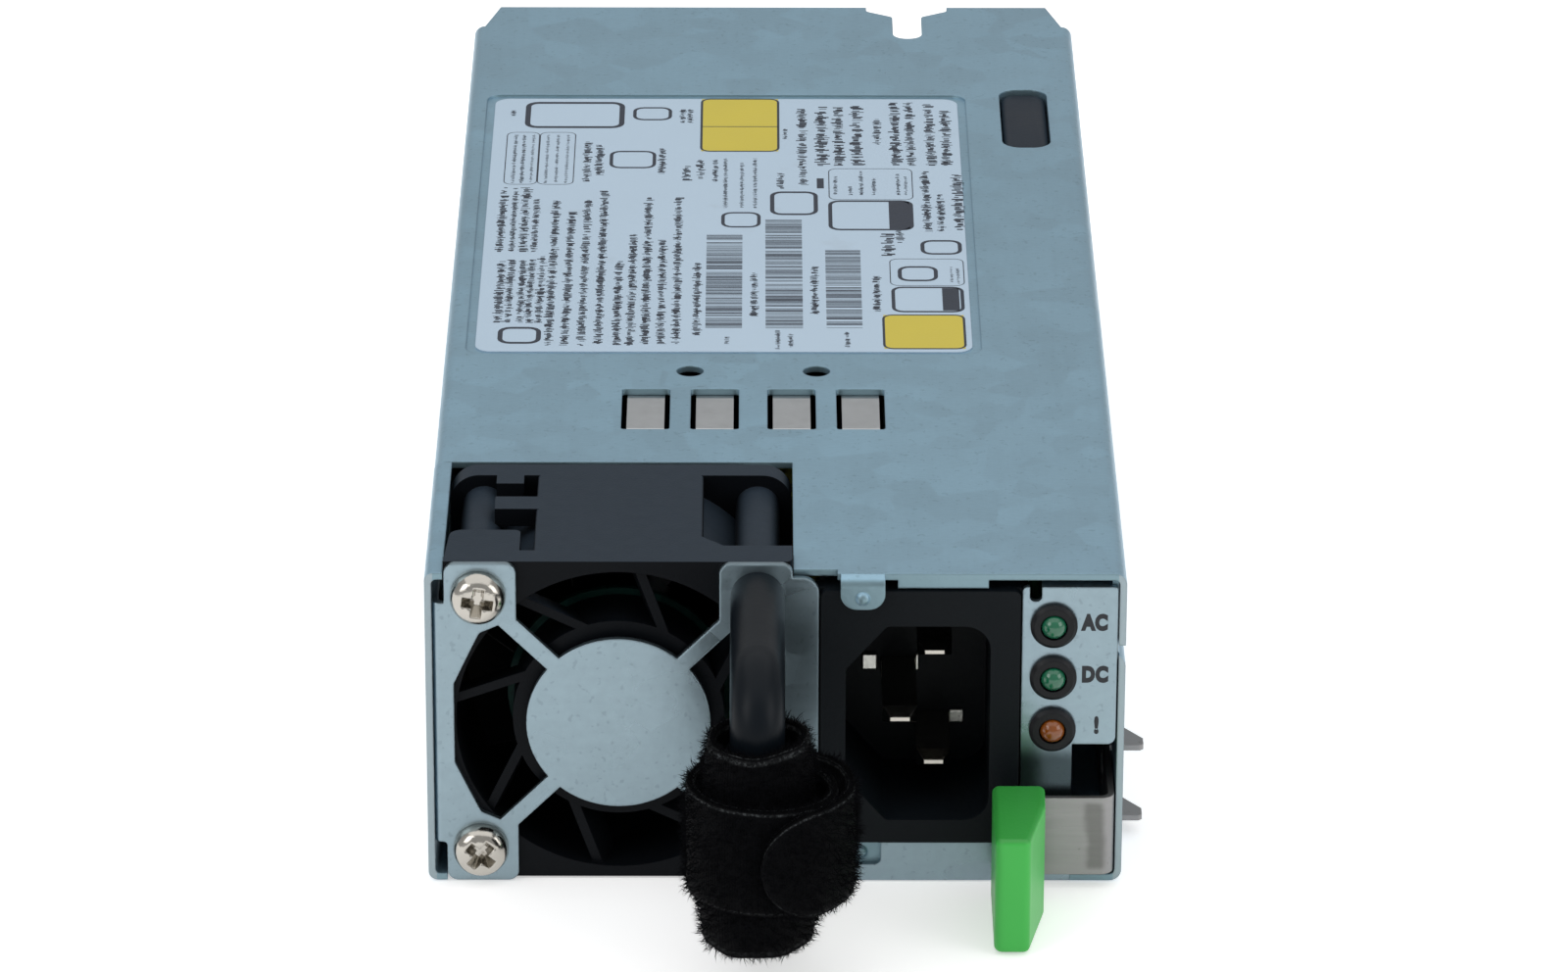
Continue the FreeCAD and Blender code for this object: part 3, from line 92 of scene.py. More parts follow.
class Sock:
    """One output of a node, on which maths is written as Python."""

    def __init__(self, graph: Graph, out: NodeSocket) -> None:
        """Keeps the graph that new Math nodes go into."""
        self.graph = graph
        self.out = out

    def _math(self, operation: str, *values: float | Sock) -> Sock:
        """A Math node on these values."""
        return self.graph.node("ShaderNodeMath", {"operation": operation}, dict(enumerate(values)))

    def __add__(self, other: float | Sock) -> Sock:
        """Sum."""
        return self._math("ADD", self, other)

    def __radd__(self, other: float) -> Sock:
        """Sum with a number on the left."""
        return self._math("ADD", other, self)

    def __sub__(self, other: float | Sock) -> Sock:
        """Difference."""
        return self._math("SUBTRACT", self, other)

    def __rsub__(self, other: float) -> Sock:
        """Difference with a number on the left."""
        return self._math("SUBTRACT", other, self)

    def __mul__(self, other: float | Sock) -> Sock:
        """Product."""
        return self._math("MULTIPLY", self, other)

    def __rmul__(self, other: float) -> Sock:
        """Product with a number on the left."""
        return self._math("MULTIPLY", other, self)

    def within(self, low: float, high: float, soft: float) -> Sock:
        """A mask that is 1 between two values, with soft ends."""
        return self.rise(low - soft, low + soft) * (1 - self.rise(high - soft, high + soft))

    def rise(self, low: float, high: float) -> Sock:
        """A mask that goes smoothly from 0 at low to 1 at high."""
        return self.graph.node("ShaderNodeMapRange", {"interpolation_type": "SMOOTHSTEP"},
                               {"Value": self, "From Min": low, "From Max": high})


class Graph:
    """A node tree, to which nodes are added one call at a time."""

    def __init__(self, tree: NodeTree) -> None:
        """Keeps the tree."""
        self.tree = tree

    def node(self, kind: str, settings: dict | None = None, inputs: dict | None = None,
             out: int | str = 0) -> Sock:
        """Adds a node.

        Args:
            kind: The node's type.
            settings: Its properties, set first.
            inputs: Values or links of its sockets, by name or number.
            out: The output that is wanted.

        Returns:
            That output.
        """
        made = self.tree.nodes.new(kind)
        for name, value in (settings or {}).items():
            setattr(made, name, value)
        self.feed(made, inputs or {})
        return Sock(self, made.outputs[out])

    def feed(self, made: bpy.types.Node, inputs: dict) -> None:
        """Sets or links inputs of a node, by name or number."""
        for key, value in inputs.items():
            if isinstance(value, Sock):
                self.tree.links.new(value.out, made.inputs[key])
            else:
                made.inputs[key].default_value = value

    def blend(self, factor: float | Sock, first: Colour | Sock, second: Colour | Sock) -> Sock:
        """A colour between two colours."""
        return self.node("ShaderNodeMix", {"data_type": "RGBA"}, {0: factor, 6: first, 7: second}, 2)

    def spot(self) -> Sock:
        """The place on the piece."""
        return self.node("ShaderNodeTexCoord", out="Object")

    def axis(self, name: str) -> Sock:
        """One coordinate of the place on the piece, in metres."""
        return self.node("ShaderNodeSeparateXYZ", inputs={0: self.spot()}, out=name)

    def facing(self, name: str) -> Sock:
        """One coordinate of the direction that the surface faces."""
        normal = self.node("ShaderNodeNewGeometry", out="Normal")
        return self.node("ShaderNodeSeparateXYZ", inputs={0: normal}, out=name)

    def ahead(self, low: float, high: float) -> Sock:
        """A mask of the faces that look to the front."""
        return (-1 * self.facing("Y")).rise(low, high)

    def ray(self, kind: str) -> Sock:
        """Whether the ray that sees the surface is of this kind."""
        return self.node("ShaderNodeLightPath", out=f"Is {kind} Ray")

    def noise(self, scale: float, detail: float = 3.0, stretch: Sequence[float] = (1, 1, 1)) -> Sock:
        """Noise about 0.5, with its grain stretched by a scale on each axis."""
        where = self.node("ShaderNodeMapping", inputs={"Vector": self.spot(), "Scale": tuple(stretch)})
        return self.node("ShaderNodeTexNoise", inputs={"Vector": where, "Scale": scale, "Detail": detail})

    def sway(self, amount: float, scale: float, detail: float = 3.0,
             stretch: Sequence[float] = (1, 1, 1)) -> Sock:
        """The same noise about 0, as strong as the amount says."""
        return (self.noise(scale, detail, stretch) - 0.5) * amount

    def cells(self, scale: float) -> Sock:
        """A random value for each crystal of a metal surface."""
        random = self.node("ShaderNodeTexVoronoi", inputs={"Vector": self.spot(), "Scale": scale},
                           out="Color")
        return self.node("ShaderNodeSeparateColor", inputs={0: random})

    def bump(self, height: Sock, depth: float, edge: float = 0.0) -> Sock:
        """A normal that follows a height map.

        Args:
            height: The map.
            depth: Its depth in metres.
            edge: The radius that sharp edges seem to have, in metres.

        Returns:
            The normal.
        """
        inputs: dict[str, float | Sock] = {"Height": height, "Distance": depth}
        if edge:
            inputs["Normal"] = self.node("ShaderNodeBevel", {"samples": 4}, {"Radius": edge})
        return self.node("ShaderNodeBump", inputs=inputs)


@dataclass(frozen=True)
class Finish:
    """A finish with a mottled colour and a fine grain."""
    title: str
    colour: Colour
    roughness: float = 0.5
    metallic: float = 0.0
    coat: float = 0.0
    mottle: float = 0.06
    patch: float = 90.0
    grain: float = 2500.0
    depth: float = 0.00002
    specular: float = 0.5
    edge: float = 0.00015

    def material(self) -> Material:
        """The material of this finish, made at its first use."""
        found = bpy.data.materials.get(self.title)
        if found:
            return found
        made = bpy.data.materials.new(self.title)
        made.use_nodes = True
        graph = Graph(made.node_tree)
        graph.feed(made.node_tree.nodes["Principled BSDF"], {
            "Base Color": self.tone(graph), "Roughness": self.rough(graph), "Metallic": self.metallic,
            "Coat Weight": self.coat, "Coat Roughness": COAT_ROUGHNESS, "Specular IOR Level": self.specular,
            "Normal": graph.bump(self.height(graph), self.depth, self.edge)})
        return made

    def shade(self, graph: Graph) -> Sock:
        """How light the colour is, about 1."""
        return 1 + graph.sway(2 * self.mottle, self.patch)

    def tone(self, graph: Graph) -> Sock:
        """The colour over the surface."""
        grey = self.shade(graph)
        value = graph.node("ShaderNodeCombineXYZ", inputs={0: grey, 1: grey, 2: grey})
        return graph.node("ShaderNodeVectorMath", {"operation": "MULTIPLY"}, {0: value, 1: self.colour[:3]})

    def rough(self, graph: Graph) -> float | Sock:
        """The roughness over the surface."""
        return self.roughness + graph.sway(0.12, self.patch * 2)

    def height(self, graph: Graph) -> Sock:
        """The relief of the surface, from 0 to 1."""
        return graph.noise(self.grain, 2.0)


@dataclass(frozen=True)
class ZincSheet(Finish):
    """Galvanised sheet: faint crystals, rolling lines, painted shade that greys the front faces, and paler
    cut edges.
    """
    crystal: float = 210.0
    rolled: Triple = (14.0, 1.0, 14.0)
    # Painted shade: how far faces that look to the front are greyed, and the grey they take.
    front: float = 0.85
    front_shade_colour: Colour = paint(126, 151, 159)
    wall: Pair = (0.0392, 0.0393)
    cut: float = 0.4
    cut_colour: Colour = paint(186, 190, 192)

    def shade(self, graph: Graph) -> Sock:
        """Crystals, cloudy patches, faint lines along the sheet and small dark specks."""
        crystals = (graph.cells(self.crystal) - 0.5) * 0.05
        clouds = graph.sway(0.16, 26.0, 4.0)
        lines = graph.sway(0.07, 60.0, 3.0, self.rolled)
        specks = graph.noise(1500.0, 1.0).rise(0.64, 0.74) * -0.14
        grain = graph.sway(0.14, 900.0, 2.0, (1.0, 3.0, 1.0))
        return 1 + crystals + clouds + lines + specks + grain

    def tone(self, graph: Graph) -> Sock:
        """The colour, with painted shade that greys the narrow front faces, and paler where the walls were
        cut there.
        """
        ahead = graph.ahead(0.6, 0.95)
        # Painted shade on the faces that look to the front.
        plain = graph.blend(ahead * self.front, Finish.tone(self, graph), self.front_shade_colour)
        wall = (graph.axis("X") * graph.axis("X")).rise(self.wall[0] ** 2, self.wall[1] ** 2)
        return graph.blend(ahead * wall * self.cut, plain, self.cut_colour)

    def rough(self, graph: Graph) -> Sock:
        """Crystals and clouds also change the gloss a little."""
        return self.roughness + (graph.cells(self.crystal) - 0.5) * 0.07 + graph.sway(0.14, 40.0)

    def height(self, graph: Graph) -> Sock:
        """Slight waves and the lines of the rolls."""
        return graph.noise(300.0, 4.0) + graph.noise(90.0, 2.0, self.rolled) * 0.6


@dataclass(frozen=True)
class DarkPatch:
    """A darker place, a stain on the latch steel and a painted reflection on the face plate: its two sides
    and the softness of its edge along X and Z, and its strength.
    """
    x: Triple
    z: Triple
    strength: float

    def mask(self, x: Sock, z: Sock) -> Sock:
        """How strong the darkening is at a place."""
        return x.within(*self.x) * z.within(*self.z) * self.strength


@dataclass(frozen=True)
class PlateSheet(ZincSheet):
    """The face plate, with painted reflections that darken it at the foot of the lamp panel, where the latch
    grip is mirrored, and beside the handle, where the handle and strap are mirrored.
    """
    # Painted reflections: the mirrored latch grip below the lamps, and the mirrored handle and strap beside
    # the handle.
    panel_foot_reflection: DarkPatch = DarkPatch((0.028, 0.0345, 0.0002), (0.0052, 0.0172, 0.0018), 0.88)
    handle_reflection: DarkPatch = DarkPatch((0.0004, 0.0052, 0.0014), (0.01, 0.034, 0.003), 0.4)
    painted_reflection_colour: Colour = paint(36, 46, 50)

    def tone(self, graph: Graph) -> Sock:
        """The sheet's colour, with painted reflections: darker at the foot of the lamp panel and beside the
        handle.
        """
        x = graph.axis("X")
        z = graph.axis("Z") + graph.sway(0.0015, 160.0)
        # Painted reflection masks, with a wavering edge.
        darkened = self.panel_foot_reflection.mask(x, z) + self.handle_reflection.mask(x, z)
        return graph.blend(darkened, ZincSheet.tone(self, graph), self.painted_reflection_colour)


@dataclass(frozen=True)
class LatchSteel(Finish):
    """Spring steel with fine grinding lines and a leaning stain near the bend of the arm."""
    bend: DarkPatch = DarkPatch((0.0362, 0.0383, 0.0005), (0.0024, 0.0106, 0.0004), 0.5)
    lean: float = 0.055
    stain_colour: Colour = paint(76, 76, 72)
    rubbed: float = 0.35
    rubbed_colour: Colour = paint(92, 88, 84)

    def tone(self, graph: Graph) -> Sock:
        """Warm grey, with a darker stain and a few rubbed marks."""
        wander = graph.sway(0.0013, 260.0, 4.0)
        z = graph.axis("Z")
        stain = self.bend.mask(graph.axis("X") + wander + z * self.lean, z + wander)
        darkened = graph.blend(stain * graph.ahead(0.5, 0.9), Finish.tone(self, graph), self.stain_colour)
        marks = graph.noise(900.0, 2.0).rise(0.68, 0.76)
        return graph.blend(marks * self.rubbed, darkened, self.rubbed_colour)

    def rough(self, graph: Graph) -> Sock:
        """The lines give the gloss a direction."""
        return self.roughness + (self.height(graph) - 0.5) * 0.25

    def height(self, graph: Graph) -> Sock:
        """Grinding lines along the strip."""
        return graph.noise(700.0, 3.0, (0.15, 0.15, 3.0))


@dataclass(frozen=True)
class Moulding(Finish):
    """Moulded plastic with a finely etched skin and a painted sheen on faces that look up, down to a height
    if one is given.
    """
    # Painted sheen: how far faces that look up are paled, and the pale blue they take.
    top_sheen: float = 0.05
    top_sheen_colour: Colour = paint(96, 116, 136)
    high: float = 0.0

    def tone(self, graph: Graph) -> Sock:
        """The colour, with a painted sheen: a little paler and bluer on faces that look up."""
        # Painted sheen on faces that look up, as if lit from above.
        sheen_mask = graph.facing("Z").rise(0.3, 0.95) * (0.9 + 0.2 * graph.noise(500.0, 4.0))
        if self.high:
            sheen_mask = sheen_mask * graph.axis("Z").rise(self.high - MM, self.high + MM)
        return graph.blend(sheen_mask * self.top_sheen, Finish.tone(self, graph), self.top_sheen_colour)


@dataclass(frozen=True)
class GripPlastic(Finish):
    """Green plastic with a soft gloss and painted shade that makes its top a deeper green."""
    # The colour of the painted shade on the top.
    deep: Colour = paint(52, 150, 62)

    def tone(self, graph: Graph) -> Sock:
        """Painted shade: the colour goes deeper on faces that look up."""
        return graph.blend(graph.facing("Z").rise(0.2, 0.9) * 0.8, Finish.tone(self, graph), self.deep)


@dataclass(frozen=True)
class CircuitBoard(Finish):
    """Green lacquer over copper tracks."""
    track: Colour = paint(70, 140, 84)

    def tone(self, graph: Graph) -> Sock:
        """Tracks show as paler lines under the lacquer."""
        spread = graph.node("ShaderNodeTexVoronoi", {"feature": "DISTANCE_TO_EDGE"},
                            {"Vector": graph.spot(), "Scale": 260.0}, "Distance")
        tracks = 1 - spread.rise(0.05, 0.12)
        return graph.blend(tracks * 0.5, Finish.tone(self, graph), self.track)


@dataclass(frozen=True)
class WrappedCore(Finish):
    """Turns of wire round a core, as fine ridges."""
    turns: float = 900.0

    def rough(self, graph: Graph) -> Sock:
        """The ridges are duller than the grooves."""
        return self.roughness + self.height(graph) * 0.1

    def height(self, graph: Graph) -> Sock:
        """Ridges all along the winding."""
        return graph.node("ShaderNodeTexWave", {"bands_direction": "DIAGONAL"},
                          {"Vector": graph.spot(), "Scale": self.turns, "Distortion": 0.6}, "Fac")


@dataclass(frozen=True)
class StrapCloth(Finish):
    """Looped cloth of the strap: ribs along it, matt pile and a frayed grey edge."""
    rib: float = 1000.0
    rim: bool = False
    frayed: float = 0.6
    thread: Colour = paint(92, 96, 98)

    def tone(self, graph: Graph) -> Sock:
        """Nearly black, with paler threads along the cut edge."""
        across = graph.node("ShaderNodeSeparateXYZ", inputs={0: graph.node("ShaderNodeUVMap")}, out="Y")
        if self.rim:
            seam = across.within(0.0, 0.3, 0.1)
        else:
            seam = across.within(0.012, 0.03, 0.004) * 0.4 + across.within(0.965, 0.988, 0.005)
        threads = 0.35 + graph.noise(2200.0, 2.0).rise(0.45, 0.6)
        return graph.blend(seam * threads * self.frayed, Finish.tone(self, graph), self.thread)

    def rough(self, graph: Graph) -> float:
        """Cloth is as rough all over."""
        return self.roughness

    def height(self, graph: Graph) -> Sock:
        """Ribs from the piece's own map, roughened by the pile."""
        ribs = graph.node("ShaderNodeTexWave", out="Fac", inputs={
            "Vector": graph.node("ShaderNodeUVMap"), "Scale": self.rib, "Distortion": 2.2, "Detail": 2.0,
            "Detail Scale": 2.0})
        return ribs * 0.5 + graph.noise(3500.0, 3.0)


@dataclass(frozen=True)
class LabelPaper(Finish):
    """Cool white label film, rubbed grey in places."""
    rubbed: float = 0.18
    rubbed_colour: Colour = paint(150, 160, 166)

    def tone(self, graph: Graph) -> Sock:
        """The colour with faint rubbed places."""
        places = graph.noise(180.0, 5.0).rise(0.6, 0.8)
        return graph.blend(places * self.rubbed, Finish.tone(self, graph), self.rubbed_colour)


GALVANISED = ZincSheet("galvanised sheet", paint(146, 179, 197), 0.4, metallic=0.75, depth=0.00005,
                       edge=0.0003)
PLATE_STEEL = PlateSheet("face plate sheet", paint(143, 162, 171), 0.3, metallic=0.9, cut=0.0, front=0.0,
                         depth=0.00003, edge=0.0003, rolled=(1.0, 14.0, 14.0))
SPRING = Finish("contact springs", paint(194, 197, 199), 0.38, metallic=1.0, mottle=0.1, patch=400.0,
                edge=0.0)
LATCH_STEEL = LatchSteel("latch steel", paint(150, 149, 149), 0.38, metallic=0.8, mottle=0.05, patch=120.0,
                         depth=0.00004)
NICKEL = Finish("nickel plate", paint(190, 186, 178), 0.17, metallic=1.0, mottle=0.05, patch=500.0)
RIVET = Finish("rivet steel", paint(158, 160, 160), 0.35, metallic=1.0)
# The fan's painted sheen pales the faces that look up, from its top down to 33 mm.
FAN_PLASTIC = Moulding("fan plastic", paint(12, 15, 19), 0.46, top_sheen=0.17, mottle=0.03, patch=300.0,
                       grain=3800.0, specular=0.09, high=0.033)
INLET_PLASTIC = Moulding("inlet plastic", paint(14, 19, 23), 0.48, top_sheen=0.01, mottle=0.05, grain=4200.0,
                         specular=0.12)
BLADE_PLASTIC = Moulding("impeller plastic", paint(8, 10, 12), 0.35, top_sheen=0.01, grain=3800.0, specular=0.25)
COLLAR = Moulding("lamp collar", paint(12, 14, 18), 0.4, top_sheen=0.02, grain=4200.0, specular=0.25)
SLEEVE = Finish("handle sleeve", paint(14, 20, 26), 0.36, mottle=0.05, grain=900.0, depth=0.00001,
                specular=0.13)
CLOTH = StrapCloth("strap cloth", paint(11, 12, 15), mottle=0.25, patch=700.0, depth=0.00025, specular=0.06,
                   edge=0.0)
CLOTH_RIM = StrapCloth("strap edge", paint(10, 11, 12), mottle=0.3, patch=900.0, depth=0.00025,
                       specular=0.06, edge=0.0, rim=True)
FUZZ = Finish("strap pile", paint(15, 16, 20), 0.9, mottle=0.3, patch=900.0, specular=0.06)
GRIP = GripPlastic("grip plastic", paint(64, 190, 78), 0.4, mottle=0.03, patch=120.0, grain=2600.0)
GREEN_LENS = Finish("green lens", paint(26, 104, 74), 0.14, coat=0.6, mottle=0.05, patch=900.0)
AMBER_LENS = Finish("amber lens", paint(134, 70, 16), 0.14, coat=0.5, mottle=0.06, patch=900.0)
BOARD = CircuitBoard("board lacquer", paint(30, 92, 52), 0.3, coat=0.4, mottle=0.1)
FAN_BOARD = CircuitBoard("fan board lacquer", paint(8, 44, 40), 0.5, mottle=0.1, specular=0.15,
                         track=paint(16, 60, 52))
GOLD = Finish("contact gold", paint(222, 178, 92), 0.25, metallic=1.0, patch=600.0)
BLACK_FILM = Finish("black film", paint(16, 29, 42), 0.5, specular=0.3, mottle=0.15, patch=160.0)
WHITE_LABEL = LabelPaper("label film", paint(181, 202, 220), 0.42, coat=0.15, mottle=0.02, patch=60.0)
INK = Finish("label ink", paint(34, 43, 58), 0.5, mottle=0.2, patch=1400.0)
PATCH_YELLOW = Finish("label yellow", paint(204, 187, 66), 0.45, mottle=0.04)
PANEL_INK = Finish("panel ink", paint(26, 30, 38), 0.5, mottle=0.15, patch=1500.0)
BRIGHT = Finish("socket metal", paint(214, 214, 208), 0.3, metallic=1.0, mottle=0.12, patch=1500.0)
COPPER = WrappedCore("copper winding", paint(176, 98, 52), 0.35, metallic=0.9, depth=0.0002, edge=0.0)
FERRITE = Finish("ferrite", paint(52, 52, 54), 0.6, mottle=0.15, patch=500.0)
TAPE = Finish("winding tape", paint(206, 168, 66), 0.4, coat=0.3, mottle=0.06)
CAN = Finish("capacitor sleeve", paint(34, 40, 62), 0.3, coat=0.4, mottle=0.08)
CAN_TOP = Finish("small can", paint(176, 180, 184), 0.3, metallic=1.0)
ALUMINIUM = Finish("aluminium", paint(186, 190, 192), 0.34, metallic=1.0, mottle=0.05)
BOX = Finish("capacitor box", paint(178, 172, 60), 0.45, mottle=0.05)
CHIP = Finish("component body", paint(34, 34, 36), 0.5)
INSULATION = Finish("lead insulation", paint(28, 28, 30), 0.45)
MAGNET = Finish("magnet", paint(70, 66, 64), 0.5, mottle=0.12)
MOTOR = Finish("motor steel", paint(146, 148, 150), 0.38, metallic=1.0)
DRESSES: dict[Finish, tuple[str, ...]] = {
    GALVANISED: ("chassis", "cover", "rear_grille"),
    PLATE_STEEL: ("face_plate",),
    SPRING: ("grounding_springs",),
    NICKEL: ("case_screws", "inlet_line_pin", "inlet_neutral_pin", "inlet_earth_pin"),
    RIVET: ("latch_rivets", "handle_core", "standoffs", "board_screws"),
    BLACK_FILM: ("roof_film", "floor_film"),
    WHITE_LABEL: ("rating_label",),
    FAN_PLASTIC: ("fan_frame",),
    BLADE_PLASTIC: ("impeller",),
    MAGNET: ("rotor_magnet",),
    MOTOR: ("rotor_yoke", "fan_stator", "fan_shaft", "fan_bearings", "handle_screws"),
    FAN_BOARD: ("fan_board",),
    INSULATION: ("fan_lead", "fan_plug", "inlet_leads"),
    INLET_PLASTIC: ("inlet_housing",),
    GREEN_LENS: ("green_lamps",),
    AMBER_LENS: ("amber_lamp",),
    COLLAR: ("led_bezels",),
    SLEEVE: ("handle_sleeve",),
    LATCH_STEEL: ("latch_lever",),
    GRIP: ("latch_grip",),
    BOARD: ("led_board", "main_board", "control_board"),
    GOLD: ("edge_contacts", "bus_bar"),
    COPPER: ("filter_chokes",),
    TAPE: ("transformer_winding", "pfc_choke"),
    BOX: ("film_capacitors",),
    CHIP: ("fuse", "relay", "power_transistors"),
    CAN: ("bulk_capacitors",),
    CAN_TOP: ("output_capacitors",),
    ALUMINIUM: ("primary_heatsink",),
    FERRITE: ("transformer_core",),
}


def dress_solids() -> None:
    """Gives each solid of the part its finish."""
    for finish, nodes in DRESSES.items():
        for name in nodes:
            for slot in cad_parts[name].material_slots:
                slot.material = finish.material()
        LOG.info("%s: %s", finish.title, ", ".join(nodes))


def put(name: str, data: ID) -> Object:
    """An object with this data, linked to the scene."""
    made = bpy.data.objects.new(name, data)
    bpy.context.scene.collection.objects.link(made)
    return made


def piece(name: str, mesh: Mesh, finishes: Sequence[Finish], body: str = "root") -> Object:
    """Puts a mesh in the scene as a piece that moves with a body.

    Args:
        name: The piece's name.
        mesh: Its mesh, already in place.
        finishes: Its finishes, in the order of its material numbers.
        body: The body that it moves with.

    Returns:
        The object.
    """
    if mesh.materials:  # clear() also resets the faces' material numbers
        mesh.materials.clear()
    for finish in finishes:
        mesh.materials.append(finish.material())
    made = put(name, mesh)
    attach(made, body)
    LOG.info("%s: %d faces on %s", name, len(mesh.polygons), body)
    return made


def to_mesh(form: BMesh, name: str, smooth: bool = False) -> Mesh:
    """Turns a form into a mesh that is smooth or flat all over."""
    mesh = bpy.data.meshes.new(name)
    form.to_mesh(mesh)
    form.free()
    for face in mesh.polygons:
        face.use_smooth = smooth
    return mesh


def evaluated(thing: Object, name: str) -> Mesh:
    """The plain mesh of an object with its modifiers applied; the object is removed."""
    held = thing.evaluated_get(bpy.context.evaluated_depsgraph_get())
    mesh = bpy.data.meshes.new_from_object(held)
    mesh.name = name
    bpy.data.objects.remove(thing)
    return mesh


def bridge(form: BMesh, first: Sequence[BMVert], second: Sequence[BMVert]) -> None:
    """Joins two rings that have as many points with a band of faces."""
    for i in range(len(first)):
        j = (i + 1) % len(first)
        form.faces.new([first[i], first[j], second[j], second[i]])


def rounded_ring(form: BMesh, middle: Pair, half: Pair, radius: float, steps: int, z: float) -> list[BMVert]:
    """Adds the points of a level rectangle with round corners.

    Args:
        form: What they are added to.
        middle, half: Its middle and its half sides.
        radius: The radius of its corners.
        steps: The edges of each corner.
        z: Its height.

    Returns:
        The points all round.
    """
    ring = []
    for number, (a, b) in enumerate(((1, 1), (-1, 1), (-1, -1), (1, -1))):
        x = middle[0] + a * (half[0] - radius)
        y = middle[1] + b * (half[1] - radius)
        for step in range(steps + 1):
            turn = math.radians(90 * (number + step / steps))
            ring.append(form.verts.new(place(x + radius * math.cos(turn), y + radius * math.sin(turn), z)))
    return ring


class Field(Enum):
    """The kinds of input that a tree of repeats has."""
    LENGTH = "NodeSocketFloat"
    COUNT = "NodeSocketInt"
    SIZE = "NodeSocketVector"
    MODEL = "NodeSocketObject"
    FINISH = "NodeSocketMaterial"


class Spread(Enum):
    """The kinds of random value: the node's data type, its first input and its output."""
    NUMBER = ("FLOAT", 2, 1)
    VECTOR = ("FLOAT_VECTOR", 0, 0)


class RepeatTree(Graph):
    """A geometry tree with named inputs that ends in a plain mesh."""

    def __init__(self, title: str, fields: dict[str, Field]) -> None:
        """Starts the tree.

        Args:
            title: Its name.
            fields: Its inputs beside the geometry.
        """
        tree = bpy.data.node_groups.new(title, "GeometryNodeTree")
        super().__init__(tree)
        tree.interface.new_socket("Geometry", in_out="INPUT", socket_type="NodeSocketGeometry")
        for name, kind in fields.items():
            tree.interface.new_socket(name, in_out="INPUT", socket_type=kind.value)
        tree.interface.new_socket("Geometry", in_out="OUTPUT", socket_type="NodeSocketGeometry")
        self.entry = tree.nodes.new("NodeGroupInput")

    def given(self, name: str) -> Sock:
        """One input of the tree."""
        return Sock(self, self.entry.outputs[name])

    def model(self) -> Sock:
        """The shape that is repeated."""
        return self.node("GeometryNodeObjectInfo", {"transform_space": "ORIGINAL"},
                         {"Object": self.given("Model")}, "Geometry")

    def spread(self, kind: Spread, low: object, high: object, salt: int) -> Sock:
        """A random value for each copy.

        Args:
            kind: What kind of value.
            low, high: Its bounds, plain or as sockets.
            salt: What sets this draw apart from the tree's others.

        Returns:
            The value.
        """
        data_type, first, out = kind.value
        return self.node("FunctionNodeRandomValue", {"data_type": data_type},
                         {first: low, first + 1: high, "Seed": self.given("Seed") + salt}, out)

    def close(self, copies: dict[str, Sock]) -> None:
        """Sets out the copies, realises them and gives them their finish."""
        set_out = self.node("GeometryNodeInstanceOnPoints", inputs=copies)
        solid = self.node("GeometryNodeRealizeInstances", inputs={0: set_out})
        done = self.node("GeometryNodeSetMaterial", inputs={0: solid, "Material": self.given("Finish")})
        end = self.tree.nodes.new("NodeGroupOutput")
        self.tree.links.new(done.out, end.inputs[0])

    def grow(self, base: Mesh, values: dict[str, object], name: str, finish: Finish, slot: str,
             body: str = "root") -> Object:
        """Runs the tree on a mesh and makes a piece of the copies.

        Args:
            base: The points, lines or faces that the copies stand on.
            values: The tree's inputs beside the finish.
            name: The piece's name.
            finish: The finish of the copies.
            slot, body: The piece's body; slot is not used.

        Returns:
            The piece.
        """
        held = put(name, base)
        modifier = held.modifiers.new("repeat", "NODES")
        modifier.node_group = self.tree
        values = values | {"Finish": finish.material()}
        for entry in self.tree.interface.items_tree:
            if entry.in_out == "INPUT" and entry.name in values:
                modifier[entry.identifier] = values[entry.name]
        return piece(name, evaluated(held, name), [finish], body)


